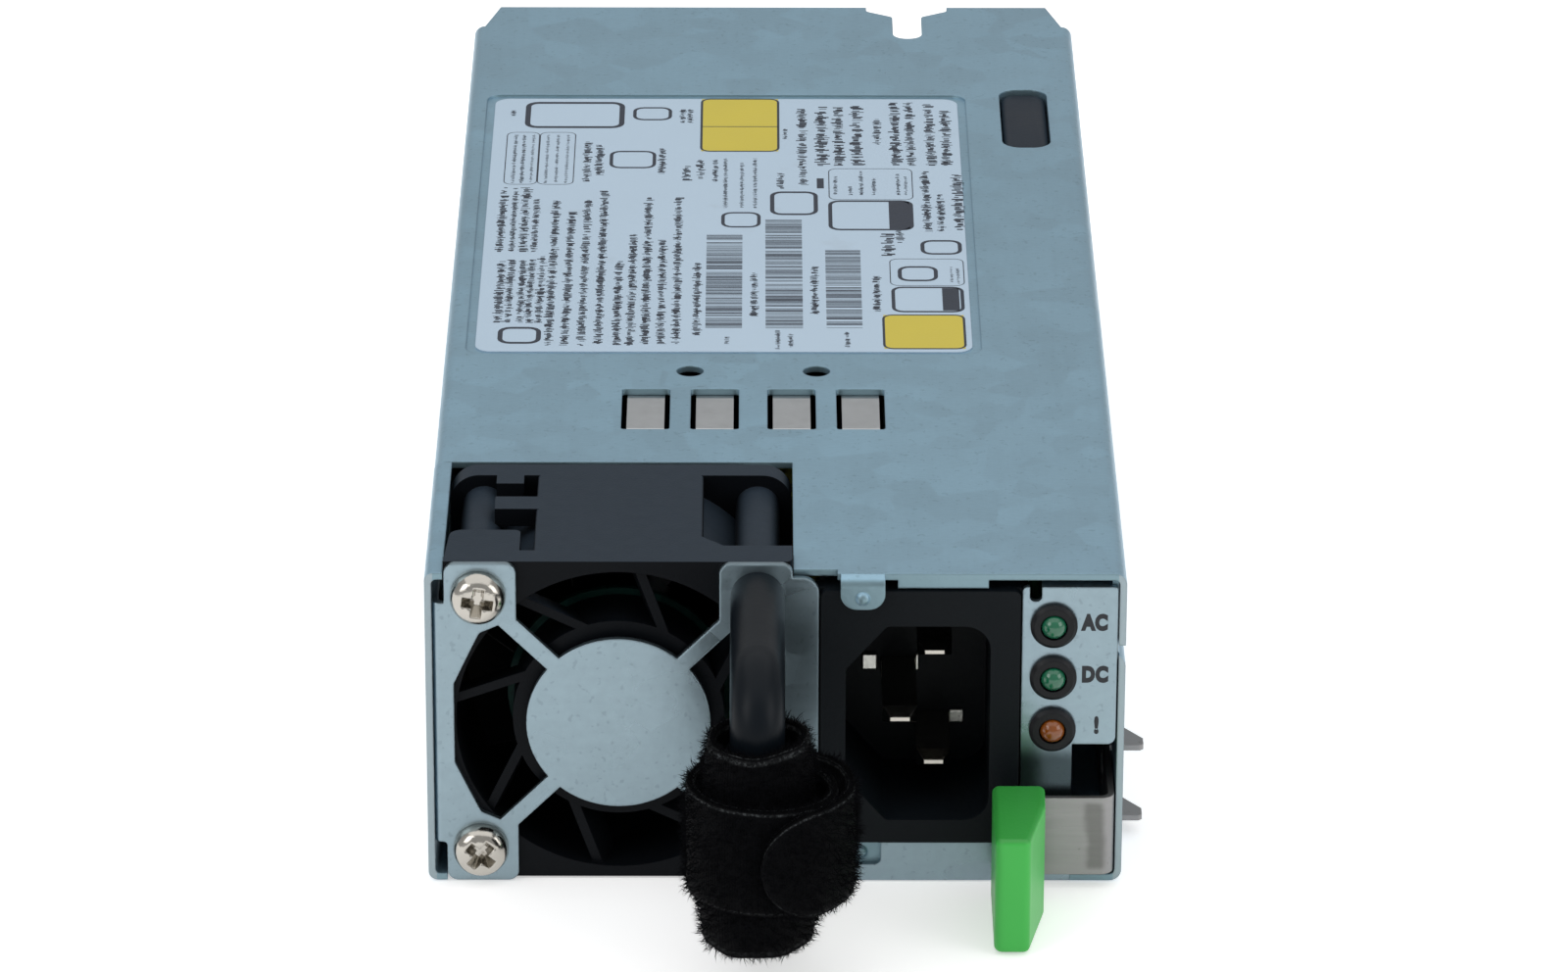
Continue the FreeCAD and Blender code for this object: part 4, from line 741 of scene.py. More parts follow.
class Repeats:
    """The geometry trees that the pieces share."""

    @staticmethod
    def set_out() -> RepeatTree:
        """Copies of a model at each point, each turned about Y further than the last."""
        tree = RepeatTree("set out", {"Model": Field.MODEL, "Turn": Field.LENGTH, "Finish": Field.FINISH})
        turned = tree.node("ShaderNodeCombineXYZ",
                           inputs={1: tree.node("GeometryNodeInputIndex") * tree.given("Turn")})
        tree.close({"Points": tree.given("Geometry"), "Instance": tree.model(), "Rotation": turned})
        return tree

    @staticmethod
    def ticks() -> RepeatTree:
        """Small printed bars across each line of a drawing."""
        tree = RepeatTree("printed bars", {
            "Pitch": Field.LENGTH, "Smallest": Field.SIZE, "Largest": Field.SIZE, "Shift": Field.SIZE,
            "Gaps": Field.LENGTH, "Seed": Field.COUNT, "Finish": Field.FINISH})
        lines = tree.node("GeometryNodeMeshToCurve", inputs={0: tree.given("Geometry")})
        even = tree.node("GeometryNodeResampleCurve", {"mode": "LENGTH"},
                         {"Curve": lines, "Length": tree.given("Pitch")})
        aside = tree.spread(Spread.VECTOR, (-0.5, -0.5, 0.0), (0.5, 0.5, 0.0), 11)
        moved = tree.node("ShaderNodeVectorMath", {"operation": "MULTIPLY"},
                          {0: aside, 1: tree.given("Shift")})
        rows = tree.node("GeometryNodeSetPosition", inputs={"Geometry": even, "Offset": moved})
        bar = tree.node("GeometryNodeMeshGrid", inputs={"Size X": 1.0, "Size Y": 1.0,
                                                        "Vertices X": 2, "Vertices Y": 2})
        size = tree.spread(Spread.VECTOR, tree.given("Smallest"), tree.given("Largest"), 0)
        kept = tree.spread(Spread.NUMBER, 0.0, 1.0, 7)
        shown = tree.node("FunctionNodeCompare", {"operation": "GREATER_THAN"},
                          {0: kept, 1: tree.given("Gaps")})
        tree.close({"Points": rows, "Selection": shown, "Instance": bar, "Scale": size})
        return tree

    @staticmethod
    def pile() -> RepeatTree:
        """Bent fibres that stand all over a cloth."""
        tree = RepeatTree("pile", {"Model": Field.MODEL, "Density": Field.LENGTH, "Shortest": Field.LENGTH,
                                   "Longest": Field.LENGTH, "Seed": Field.COUNT, "Finish": Field.FINISH})
        points = tree.node("GeometryNodeDistributePointsOnFaces", out="Points",
                           inputs={"Mesh": tree.given("Geometry"), "Density": tree.given("Density"),
                                   "Seed": tree.given("Seed")})
        upright = Sock(tree, points.out.node.outputs["Rotation"])
        lean = tree.spread(Spread.VECTOR, (-0.9, -0.9, -3.1), (0.9, 0.9, 3.1), 3)
        turned = tree.node("FunctionNodeRotateEuler", {"rotation_type": "EULER", "space": "LOCAL"},
                           {0: upright, 1: lean})
        length = tree.spread(Spread.NUMBER, tree.given("Shortest"), tree.given("Longest"), 5)
        size = tree.node("ShaderNodeCombineXYZ", inputs={0: length, 1: length, 2: length})
        tree.close({"Points": points, "Instance": tree.model(), "Rotation": turned, "Scale": size})
        return tree


@dataclass
class OvalSlot:
    """The pressed rise of the black film, just under the oval slot of the lid.

    Its rim is a row of margins inside the slot, each with its depth under the top.
    """
    middle: Pair = (32.85, 145.7)
    half: Pair = (3.15, 10.6)
    corner: float = 2.4
    corner_steps: int = 8
    top: float = 38.5
    rim: tuple[Pair, ...] = ((0.25, 0.5), (0.45, 0.15), (1.0, 0.0))

    def build(self) -> None:
        """Makes the rise from the film up, with a rounded rim."""
        form = bmesh.new()
        levels = [(self.rim[0][0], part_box("roof_film")[1][2] / MM)]
        levels += [(margin, self.top - under) for margin, under in self.rim]
        rings = []
        for margin, z in levels:
            half = (self.half[0] - margin, self.half[1] - margin)
            rings.append(rounded_ring(form, self.middle, half, self.corner - margin, self.corner_steps, z))
        for low, high in zip(rings, rings[1:]):
            bridge(form, low, high)
        form.faces.new(rings[0][::-1])
        form.faces.new(rings[-1])
        piece("slot_pad", to_mesh(form, "slot_pad", smooth=True), [BLACK_FILM])


@dataclass
class RatingLabel:
    """The print of the label: plain bars, strokes, boxes and patches.

    Strokes are rows of small print: for each height of print, the X of each line and its ends along Y.
    Their smallest and largest size and their shift are shares of a letter's width.
    """
    top: float = 38.85
    lift: float = 0.012
    patch_layer: float = 1.2
    rim_layer: float = 1.8
    rim: float = 0.3
    corner: float = 1.0
    corner_least: float = 0.1
    corner_steps: int = 4
    straight: float = 0.05
    bars: tuple[Rect, ...] = ((-8.5, -4.0, 74.0, 104.8), (-1.1, 3.5, 74.0, 109.9), (6.4, 10.8, 74.1, 99.6))
    bar_pitch: float = 0.44
    bar_widths: Pair = (0.07, 0.36)
    bar_gaps: float = 0.06
    bar_shift: float = 0.1
    stroke_pitch: float = 0.3
    pitch_height: float = 0.6
    stroke_shares: tuple[Pair, Pair, Pair] = ((0.3, 0.1), (1.0, 0.26), (0.35, 0.1))
    stroke_gaps: float = 0.14
    stroke_seed: int = 20
    wide_share: float = 1.35
    strokes: tuple[tuple[float, tuple[Triple, ...]], ...] = (
        (0.33, ((-31.2, 122.7, 139.7), (-29.3, 122.7, 139.7), (-28.0, 122.7, 139.7), (-26.7, 122.7, 139.7),
            (16.9, 118.7, 125.0), (22.1, 89.1, 94.0), (22.9, 88.6, 93.5))),
        (0.42, ((-6.2, 114.1, 131.4), (-4.1, 114.1, 130.2), (-2.4, 114.1, 131.4), (-33.5, 122.7, 139.7),
            (-32.4, 122.7, 139.7), (7.9, 118.7, 125.0), (9.8, 118.7, 121.5), (11.2, 118.7, 126.9),
            (12.8, 118.7, 124.4), (15.9, 118.7, 126.1))),
        (0.5, ((-5.9, 68.9, 71.0), (0.4, 67.3, 73.1), (2.0, 67.9, 72.0), (8.9, 67.9, 72.6),
            (1.5, 138.5, 142.0))),
        (0.58, ((-33.0, 99.0, 120.9), (-34.1, 146.8, 148.6), (-11.9, 144.4, 149.3), (-10.9, 144.4, 149.3),
            (-7.5, 123.3, 130.8))),
        (0.67, ((-30.2, 99.0, 116.9),)),
        (0.75, ((-32.8, 75.7, 96.2), (-31.4, 75.7, 96.2), (-30.3, 75.7, 96.2), (-14.4, 125.6, 134.9),
            (-2.5, 77.9, 92.4), (5.0, 78.4, 94.0), (12.7, 79.4, 90.8))),
        (0.83, ((-34.5, 99.0, 120.9), (-29.0, 75.7, 97.3), (-27.7, 68.4, 116.4), (-25.7, 68.4, 112.4),
            (-23.7, 68.4, 116.9), (-21.6, 68.9, 119.8), (-19.4, 68.6, 95.7), (-17.7, 68.4, 105.1),
            (-15.9, 68.9, 117.5), (-14.0, 68.9, 102.9), (-12.1, 68.9, 117.5), (-9.6, 71.5, 95.1),
            (-24.1, 123.3, 137.3), (-22.5, 125.6, 136.1), (13.4, 136.7, 145.6), (21.2, 106.2, 118.7),
            (0.9, 120.9, 126.1), (3.8, 122.1, 128.5))),
        (0.9, ((15.8, 102.3, 106.2),)),
        (0.92, ((-31.6, 99.0, 120.9), (-34.1, 75.7, 95.7), (19.4, 106.2, 126.7), (-9.4, 124.4, 130.8))),
        (1.0, ((3.7, 129.1, 149.3), (17.7, 129.1, 151.7), (-11.3, 123.8, 128.5))),
        (1.08, ((8.4, 129.1, 149.9), (20.3, 129.1, 151.1), (22.4, 129.1, 149.3))),
        (1.17, ((15.8, 129.1, 151.7), (23.5, 106.8, 125.6))),
        (1.25, ((6.2, 129.1, 150.5), (10.8, 129.1, 150.5), (14.4, 97.9, 105.1))))
    frames: tuple[tuple[float, float, float, float, float], ...] = (
        (-32.5, -19.5, 142.3, 151.9, 0.7), (-34.7, -30.4, 122.1, 140.8, 0.12),
        (-30.4, -25.7, 122.1, 140.8, 0.12), (-21.2, -15.2, 127.9, 134.1, 0.45),
        (7.0, 17.8, 116.9, 127.9, 0.12), (6.9, 17.7, 106.4, 116.7, 0.5), (14.4, 23.7, 87.8, 96.8, 0.12),
        (14.5, 23.5, 79.1, 87.5, 0.45), (15.4, 20.4, 89.3, 94.3, 0.5), (-33.9, -28.6, 68.8, 74.2, 0.6),
        (-6.7, -1.7, 107.3, 112.6, 0.45), (18.4, 23.6, 98.2, 103.1, 0.5), (-18.4, -13.3, 145.2, 150.0, 0.45),
        (-0.5, 5.6, 111.6, 119.8, 0.55))
    solids: tuple[Rect, ...] = (
        (5.5, 6.4, 120.9, 124.4), (14.6, 17.2, 106.9, 116.2), (20.8, 22.9, 79.7, 87.0))
    yellow: tuple[Rect, ...] = ((-9.4, 0.6, 134.0, 153.0), (13.4, 23.3, 67.4, 78.2))
    divider_drop: float = 0.6
    divider_half: float = 0.1

    def level(self, form: BMesh, rect: Rect, layer: float = 1.0) -> None:
        """Adds a printed rectangle that faces up."""
        x0, x1, y0, y1 = rect
        z = self.top + self.lift * layer
        corners = ((x0, y0), (x1, y0), (x1, y1), (x0, y1))
        form.faces.new([form.verts.new(place(x, y, z)) for x, y in corners])

    def rounded(self, form: BMesh, rect: Rect, line: float, layer: float = 1.0) -> None:
        """Adds a printed frame with rounded corners.

        Args:
            form: What it is added to.
            rect: Its outer sides.
            line: The width of its line.
            layer: Its layer of print.
        """
        x0, x1, y0, y1 = rect
        half = ((x1 - x0) / 2, (y1 - y0) / 2)
        corner = min(self.corner + line, half[0] - self.straight, half[1] - self.straight)
        middle = ((x0 + x1) / 2, (y0 + y1) / 2)
        z = self.top + self.lift * layer
        bridge(form, *(rounded_ring(form, middle, (half[0] - inset, half[1] - inset),
                                    max(corner - inset, self.corner_least), self.corner_steps, z)
                       for inset in (0.0, line)))

    def small_print(self, tree: RepeatTree, name: str, rows: Sequence[Triple],
                    values: dict[str, object]) -> None:
        """Prints a piece of small bars.

        Args:
            tree: The tree that sets out the bars.
            name: The piece's name.
            rows: The X and the two ends along Y of each line of bars.
            values: The tree's inputs beside the ink.
        """
        form = bmesh.new()
        for x, y0, y1 in rows:
            form.edges.new([form.verts.new(place(x, y, self.top + self.lift)) for y in (y0, y1)])
        tree.grow(to_mesh(form, "rows"), values, name, INK, "label")

    def build(self) -> None:
        """Prints the label."""
        tree = Repeats.ticks()
        thin, thick = self.bar_widths
        for number, (x0, x1, y0, y1) in enumerate(self.bars):
            wide = (x1 - x0) * MM
            self.small_print(tree, f"label_bars_{number}", [((x0 + x1) / 2, y0, y1)],
                             {"Pitch": self.bar_pitch * MM, "Smallest": (wide, thin * MM, 1.0),
                              "Largest": (wide, thick * MM, 1.0), "Shift": (0.0, self.bar_shift * MM, 0.0),
                              "Gaps": self.bar_gaps, "Seed": number})
        for number, (height, rows) in enumerate(self.strokes):
            size = height * self.wide_share * MM
            smallest, largest, shift = [(x * size, y * size) for x, y in self.stroke_shares]
            self.small_print(tree, f"label_strokes_{number}", rows,
                             {"Pitch": self.stroke_pitch * max(height, self.pitch_height) * MM,
                              "Smallest": (*smallest, 1.0), "Largest": (*largest, 1.0),
                              "Shift": (*shift, 0.0), "Gaps": self.stroke_gaps,
                              "Seed": self.stroke_seed + number})
        form = bmesh.new()
        for x0, x1, y0, y1, line in self.frames:
            self.rounded(form, (x0, x1, y0, y1), line)
        out = self.rim / 2
        for x0, x1, y0, y1 in self.yellow:
            self.rounded(form, (x0 - out, x1 + out, y0 - out, y1 + out), self.rim, self.rim_layer)
        for rect in self.solids:
            self.level(form, rect)
        x0, x1, y0, y1 = self.yellow[0]
        middle = (y0 + y1) / 2 - self.divider_drop
        self.level(form, (x0, x1, middle - self.divider_half, middle + self.divider_half), self.rim_layer)
        piece("label_frames", to_mesh(form, "label_frames"), [INK])
        form = bmesh.new()
        for rect in self.yellow:
            self.level(form, rect, self.patch_layer)
        piece("label_patches", to_mesh(form, "label_patches"), [PATCH_YELLOW])


@dataclass
class EarScrews:
    """The two pan head screws at the left ears of the fan, with their cross recesses.

    The crown of the head is a row of radii, each with its depth under the top. The mouth and the foot of
    the recess are the reach and the half width of its arms.
    """
    pitch: float = 32.0
    x: float = -18.07
    z: float = 20.1
    head: float = 3.2
    head_height: float = 2.3
    crown: tuple[Pair, ...] = ((0.0, 0.0), (1.5, 0.04), (2.1, 0.16), (2.65, 0.5))
    shoulder: Pair = (3.0, -1.25)
    brim: float = 0.6
    chamfer: float = 0.12
    shank: float = 1.5
    length: float = 11.0
    point: Pair = (0.6, 0.7)
    mouth: Pair = (2.15, 0.7)
    foot: Pair = (0.8, 0.35)
    over: float = 0.4
    depth: float = 1.7
    tilt: float = math.radians(8)
    turn: float = math.radians(32)

    def head_form(self) -> Mesh:
        """A turned pan head with its shank, pointing along Y from the origin."""
        profile = [(radius, -self.head_height + under) for radius, under in self.crown]
        profile += [self.shoulder, (self.head, -self.brim), (self.head, -self.chamfer),
                    (self.head - self.chamfer, 0.0), (self.shank, 0.0),
                    (self.shank, self.length - self.point[1]), (self.shank - self.point[0], self.length),
                    (0.0, self.length)]
        form = bmesh.new()
        verts = [form.verts.new((r * MM, y * MM, 0)) for r, y in profile]
        edges = [form.edges.new(pair) for pair in zip(verts, verts[1:])]
        bmesh.ops.spin(form, geom=verts + edges, cent=(0, 0, 0), axis=(0, 1, 0), angle=math.tau, steps=48)
        bmesh.ops.remove_doubles(form, verts=form.verts, dist=1e-6)
        bmesh.ops.recalc_face_normals(form, faces=form.faces)
        return to_mesh(form, "pan_head", smooth=True)

    def recess(self) -> Mesh:
        """The tapered cross that is cut into the head."""
        form = bmesh.new()
        loops = []
        for y, (reach, half) in ((-self.head_height - self.over, self.mouth),
                                 (self.depth - self.head_height, self.foot)):
            arm = ((reach, -half), (reach, half), (half, half))
            cross = [(a * c - b * s, a * s + b * c) for c, s in ((1, 0), (0, 1), (-1, 0), (0, -1))
                     for a, b in arm]
            loops.append([form.verts.new((a * MM, y * MM, b * MM)) for a, b in cross])
        near, far = loops
        form.faces.new(near)
        form.faces.new(far[::-1])
        bridge(form, far, near)
        bmesh.ops.recalc_face_normals(form, faces=form.faces)
        return to_mesh(form, "recess")

    def screw(self) -> Object:
        """One finished screw, its recess tilted as the photographed ones are."""
        body = put("screw_body", self.head_form())
        tool = put("screw_tool", self.recess())
        tool.data.transform(Matrix.Rotation(self.tilt, 4, "Y"))
        cut = body.modifiers.new("recess", "BOOLEAN")
        cut.object = tool
        cut.solver = "EXACT"
        mesh = evaluated(body, "screw_model")
        bpy.data.objects.remove(tool)
        return put("screw_model", mesh)

    def build(self) -> None:
        """Sets the screws in place of the plain ones."""
        form = bmesh.new()
        for z in (self.z + self.pitch / 2, self.z - self.pitch / 2):
            form.verts.new(place(self.x - self.pitch / 2, 0.0, z))
        model = self.screw()
        screws = Repeats.set_out().grow(to_mesh(form, "screw_places"), {"Model": model, "Turn": self.turn},
                                        "ear_screws", NICKEL, "nickel")
        bpy.data.objects.remove(model)
        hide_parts("fan_screws")


@dataclass
class SocketClips:
    """The metal seen deep in the mains inlet: the sides of each part along X and Z and how proud it is."""
    floor: float = 16.2
    sunk: float = 0.05
    chamfer: float = 0.1
    bits: tuple[tuple[float, float, float, float, float], ...] = (
        (10.2, 11.9, 19.8, 21.7, 0.7), (16.4, 16.8, 19.7, 21.7, 0.7), (20.4, 22.1, 12.9, 14.5, 0.5))

    def build(self) -> None:
        """Adds the small metal parts at the back of the socket."""
        form = bmesh.new()
        for x0, x1, z0, z1, proud in self.bits:
            low = place(x0, self.floor - proud, z0)
            high = place(x1, self.floor - self.sunk, z1)
            bmesh.ops.create_cube(form, size=1.0,
                                  matrix=Matrix.LocRotScale((low + high) / 2, None, high - low))
        bmesh.ops.bevel(form, geom=form.edges[:], offset=self.chamfer * MM, segments=1, affect="EDGES")
        piece("socket_clips", to_mesh(form, "socket_clips"), [BRIGHT])


@dataclass
class LampLetters:
    """The plain letters beside the lamps, each with its place along X and Z and its height."""
    words: tuple[tuple[str, float, float, float], ...] = (
        ("AC", 35.2, 32.05, 1.85), ("DC", 35.2, 25.5, 1.85), ("!", 36.7, 19.0, 1.95))
    cap_share: float = 0.72
    bold: float = 0.19
    spacing: float = 1.14
    narrow: float = 0.76
    gap: float = 0.02

    def build(self) -> None:
        """Prints the letters as one flat mesh just in front of the panel."""
        form = bmesh.new()
        upright = Matrix.Rotation(math.radians(90), 4, "X") @ Matrix.Scale(self.narrow, 4, (1, 0, 0))
        for word, x, z, height in self.words:
            curve = bpy.data.curves.new("letters", "FONT")
            curve.body = word
            curve.size = height / self.cap_share * MM
            curve.offset = self.bold * MM
            curve.resolution_u = 4
            curve.space_character = self.spacing
            mesh = evaluated(put("letters", curve), "letters")
            mesh.transform(Matrix.Translation(place(x, -self.gap, z)) @ upright)
            form.from_mesh(mesh)
            bpy.data.meshes.remove(mesh)
        piece("lamp_letters", to_mesh(form, "lamp_letters"), [PANEL_INK])


@dataclass(frozen=True)
class Ripple:
    """A sine wave: its height, and its rates along the cloth and up it."""
    height: float
    along: float
    up: float = 0.0

    def at(self, along: float, up: float = 1.0) -> float:
        """Its height at a place; where only one way counts, its second rate is its start."""
        return self.height * math.sin(self.along * along + self.up * up)


@dataclass(frozen=True)
class Nap:
    """A layer of fibres: on the cut edges alone or not, its density on a square metre and its lengths."""
    name: str
    rims: bool
    density: float
    shortest: float
    longest: float


@dataclass
class CableStrap:
    """The hook and loop strap: a tube round the grip and its tail in a loose roll.

    The tail rises twice away from its roll, each time from a share of its length over another share. Its
    slack is a wave over the angle: its height, its rate and its start in degrees. The knee and the tip of
    a fibre are places along X and Z.
    """
    x: float = -2.07
    y: float = -26.0
    tube: float = 5.2
    tube_low: float = 6.1
    tube_dip: float = 0.2
    belly: float = 0.55
    skirt: float = 0.6
    tube_high: float = 30.8
    thick: float = 1.15
    shift: float = 1.05
    tail_low: float = 12.4
    tail_high: float = 25.2
    start: float = 400.0
    end: float = -94.0
    roll: float = 6.7
    second_turn: float = 1.65
    over_itself: float = 1.0
    second_rise: Pair = (0.0, 0.2)
    over_rise: Pair = (0.55, 0.22)
    slack: Triple = (0.16, 2.3, 40.0)
    sags: tuple[Ripple, ...] = (Ripple(0.12, 0.37, 5.0), Ripple(0.05, 1.3, 11.0))
    sag_share: float = 0.4
    thinned: float = 0.25
    tube_ripple: Ripple = Ripple(0.12, 3, 1.0)
    top_ripple: Ripple = Ripple(0.12, 5)
    foot_ripple: Ripple = Ripple(0.1, 7)
    tail_ripple: Ripple = Ripple(0.14, 0.03)
    tilt: float = 0.25
    tilt_turn: float = 0.5
    tube_count: int = 96
    steps: int = 170
    rows: int = 14
    fibre_base: float = 0.04
    fibre_taper: float = 0.75
    fibre_knee: Pair = (0.1, 0.5)
    fibre_tip: Pair = (0.4, 0.9)
    tip_room: float = 0.4
    inward: float = -0.3
    naps: tuple[Nap, ...] = (Nap("pile", False, 9.0e6, 0.35, 1.4), Nap("stray", False, 7.0e5, 1.1, 1.7),
                             Nap("fringe", True, 2.0e7, 0.3, 0.9))

    def reach(self, angle: float) -> float:
        """The distance of the tail from the middle of the roll at an angle in degrees."""
        def ease(start: float, length: float) -> float:
            """A smooth step from 0 to 1, from a share of the tail over another share."""
            share = min(max((gone - start) / length, 0.0), 1.0)
            return share * share * (3 - 2 * share)
        gone = (self.start - angle) / (self.start - self.end)
        height, rate, start = self.slack
        slack = height * math.sin(math.radians(angle * rate + start))
        return (self.roll + self.second_turn * ease(*self.second_rise)
                + self.over_itself * ease(*self.over_rise) + slack)

    def bulge(self, number: int, share: float, offset: float, closed: bool) -> float:
        """How far a point of the cloth stands out from its middle line.

        Args:
            number: The number of its place along the line.
            share: Its height as a share of the strip.
            offset: Half the thickness, with the sign of its face.
            closed: True for a ring, which also bellies out from the grip.

        Returns:
            The distance, to the left of the line.
        """
        across = 2 * share - 1
        sag = sum(ripple.at(number, share) for ripple in self.sags)
        swell = self.belly * (1 - across ** 2) + self.skirt * (1 - share) if closed else 0.0
        return offset * (1 - self.thinned * across ** 8) + sag * self.sag_share - swell

    def band(self, line: Sequence[Pair], span: Sequence[Pair], closed: bool, name: str) -> Mesh:
        """A strip of cloth of even thickness along a line in plan.

        Args:
            line: Points in plan, millimetres.
            span: The lower and upper edge at each point.
            closed: True for a ring.
            name: The mesh's name.

        Returns:
            The strip, its cut edges in the second material.
        """
        form = bmesh.new()
        sheet = form.loops.layers.uv.new("UVMap")
        count = len(line)
        grid: list[list[list[BMVert]]] = []
        along = [0.0]
        for i, ((x, y), (low, high)) in enumerate(zip(line, span)):
            before = line[i - 1] if closed or i else line[i]
            after = line[(i + 1) % count] if closed or i < count - 1 else line[i]
            size = math.dist(before, after)
            side = ((before[1] - after[1]) / size, (after[0] - before[0]) / size)
            pair = []
            for offset in (-self.thick / 2, self.thick / 2):
                column = []
                for k in range(self.rows + 1):
                    share = k / self.rows
                    out = self.bulge(i, share, offset, closed)
                    column.append(form.verts.new(place(x + side[0] * out, y + side[1] * out,
                                                       low + (high - low) * share)))
                pair.append(column)
            grid.append(pair)
            along.append(along[-1] + math.dist(line[i], line[(i + 1) % count]))

        def quad(corners: Sequence[BMVert], marks: Sequence[Pair], number: int) -> None:
            """Adds a face with its place on the flat cloth and its material number."""
            face = form.faces.new(corners)
            face.material_index = number
            for loop, mark in zip(face.loops, marks):
                loop[sheet].uv = mark

        for i in range(count if closed else count - 1):
            (left, right), (next_left, next_right) = grid[i], grid[(i + 1) % count]
            u0, u1 = along[i] * MM, along[i + 1] * MM
            for k in range(self.rows):
                v0, v1 = k / self.rows, (k + 1) / self.rows
                quad((left[k], next_left[k], next_left[k + 1], left[k + 1]),
                     ((u0, v0), (u1, v0), (u1, v1), (u0, v1)), 0)
                quad((next_right[k], right[k], right[k + 1], next_right[k + 1]),
                     ((u1, v0), (u0, v0), (u0, v1), (u1, v1)), 0)
            for k, order in ((0, 1), (self.rows, -1)):
                quad((right[k], next_right[k], next_left[k], left[k])[::order],
                     ((u0, 1.0), (u1, 1.0), (u1, 0.0), (u0, 0.0))[::order], 1)
        if not closed:
            for (left, right), order in ((grid[0], 1), (grid[-1], -1)):
                for k in range(self.rows):
                    quad((left[k], left[k + 1], right[k + 1], right[k])[::order], [(0.0, 0.5)] * 4, 1)
        bmesh.ops.recalc_face_normals(form, faces=form.faces)
        return to_mesh(form, name, smooth=True)

    def inner_band(self) -> Mesh:
        """The part of the strap that goes round the grip as a tube."""
        line, span = [], []
        for i in range(self.tube_count):
            angle = math.tau * i / self.tube_count
            radius = self.tube + self.tube_ripple.at(angle)
            line.append((self.x + radius * math.cos(angle), self.y + radius * math.sin(angle)))
            tilt = self.tilt * math.cos(angle - self.tilt_turn) + self.top_ripple.at(angle)
            dip = self.tube_dip * (1 + math.sin(angle))
            span.append((self.tube_low + dip + self.foot_ripple.at(angle), self.tube_high + tilt))
        return self.band(line, span, True, "strap_tube")

    def tail(self) -> Mesh:
        """The tail: once round loosely, then over itself to its round end at the front."""
        span = []
        points = [(self.x + self.shift + x, self.y + y) for x, y in self.line_points()]
        left = [0.0]
        for near, far in zip(points[::-1], points[-2::-1]):
            left.append(left[-1] + math.dist(near, far))
        left = left[::-1]
        half = (self.tail_high - self.tail_low) / 2
        middle = (self.tail_high + self.tail_low) / 2
        for number, rest in enumerate(left):
            room = half
            if rest < half:
                room = max(math.sqrt(max(half * half - (half - rest) ** 2, 0.0)), self.tip_room)
            drop = self.tail_ripple.at(number)
            span.append((middle - room + drop, middle + room + drop))
        return self.band(points, span, False, "strap_tail")

    def fibre(self) -> Object:
        """One bent fibre, about a millimetre long."""
        form = bmesh.new()
        low, high = [[form.verts.new(((x + r * math.cos(a)) * MM, r * math.sin(a) * MM, z * MM))
                      for a in (0.0, math.tau / 3, 2 * math.tau / 3)]
                     for x, z, r in ((0.0, 0.0, self.fibre_base),
                                     (*self.fibre_knee, self.fibre_taper * self.fibre_base))]
        tip = form.verts.new((self.fibre_tip[0] * MM, 0.0, self.fibre_tip[1] * MM))
        for i in range(3):
            j = (i + 1) % 3
            form.faces.new([low[i], low[j], high[j], high[i]])
            form.faces.new([high[i], high[j], tip])
        form.faces.new(low[::-1])
        return put("fibre", to_mesh(form, "fibre"))

    def outside(self, cloth: Object, rims: bool) -> Mesh:
        """The faces of a cloth that carry pile.

        Args:
            cloth: The piece of cloth.
            rims: True for its cut edges alone.

        Returns:
            A mesh without the faces that look at the grip.
        """
        form = bmesh.new()
        form.from_mesh(cloth.data)
        middle = place(self.x, self.y, 0.0)
        bare = []
        for face in form.faces:
            away = face.calc_center_median() - middle
            away.z = 0.0
            if face.normal.dot(away.normalized()) < self.inward or (rims and face.material_index != 1):
                bare.append(face)
        bmesh.ops.delete(form, geom=bare, context="FACES")
        return to_mesh(form, "strap_outside")

    def grow(self, cloth: Object, number: int, tree: RepeatTree, model: Object) -> list[Object]:
        """Grows the layers of fibres on a piece of cloth.

        Args:
            cloth: The piece.
            number: Its number, which ends the names of its layers.
            tree: The tree of the pile.
            model: The fibre.

        Returns:
            One piece for each layer.
        """
        return [tree.grow(self.outside(cloth, nap.rims),
                          {"Model": model, "Density": nap.density, "Shortest": nap.shortest,
                           "Longest": nap.longest, "Seed": number + 1},
                          f"strap_{nap.name}_{number}", FUZZ, "strap", "strap") for nap in self.naps]

    def build(self) -> None:
        """Makes the two pieces of cloth and the pile on them."""
        tube = piece("strap_tube", self.inner_band(), [CLOTH, CLOTH_RIM], "strap")
        tail = piece("strap_tail", self.tail(), [CLOTH, CLOTH_RIM], "strap")
        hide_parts("cable_strap")
        model = self.fibre()
        tree = Repeats.pile()
        fuzz = [self.grow(cloth, number, tree, model) for number, cloth in enumerate((tube, tail))]
        bpy.data.objects.remove(model)
        length = sum(math.dist(a, b) for a, b in zip(self.line_points(), self.line_points()[1:])) * MM

    def line_points(self) -> list[Pair]:
        """The middle line of the tail in plan."""
        made = []
        for i in range(self.steps + 1):
            angle = self.start + (self.end - self.start) * i / self.steps
            turn = math.radians(angle)
            made.append((self.reach(angle) * math.cos(turn), self.reach(angle) * math.sin(turn)))
        return made


@dataclass(frozen=True)
class SoftLamp:
    """A square lamp that points at the part: its place and side in metres and its power in watts."""
    name: str
    where: Triple
    aim: Triple
    side: float
    power: float


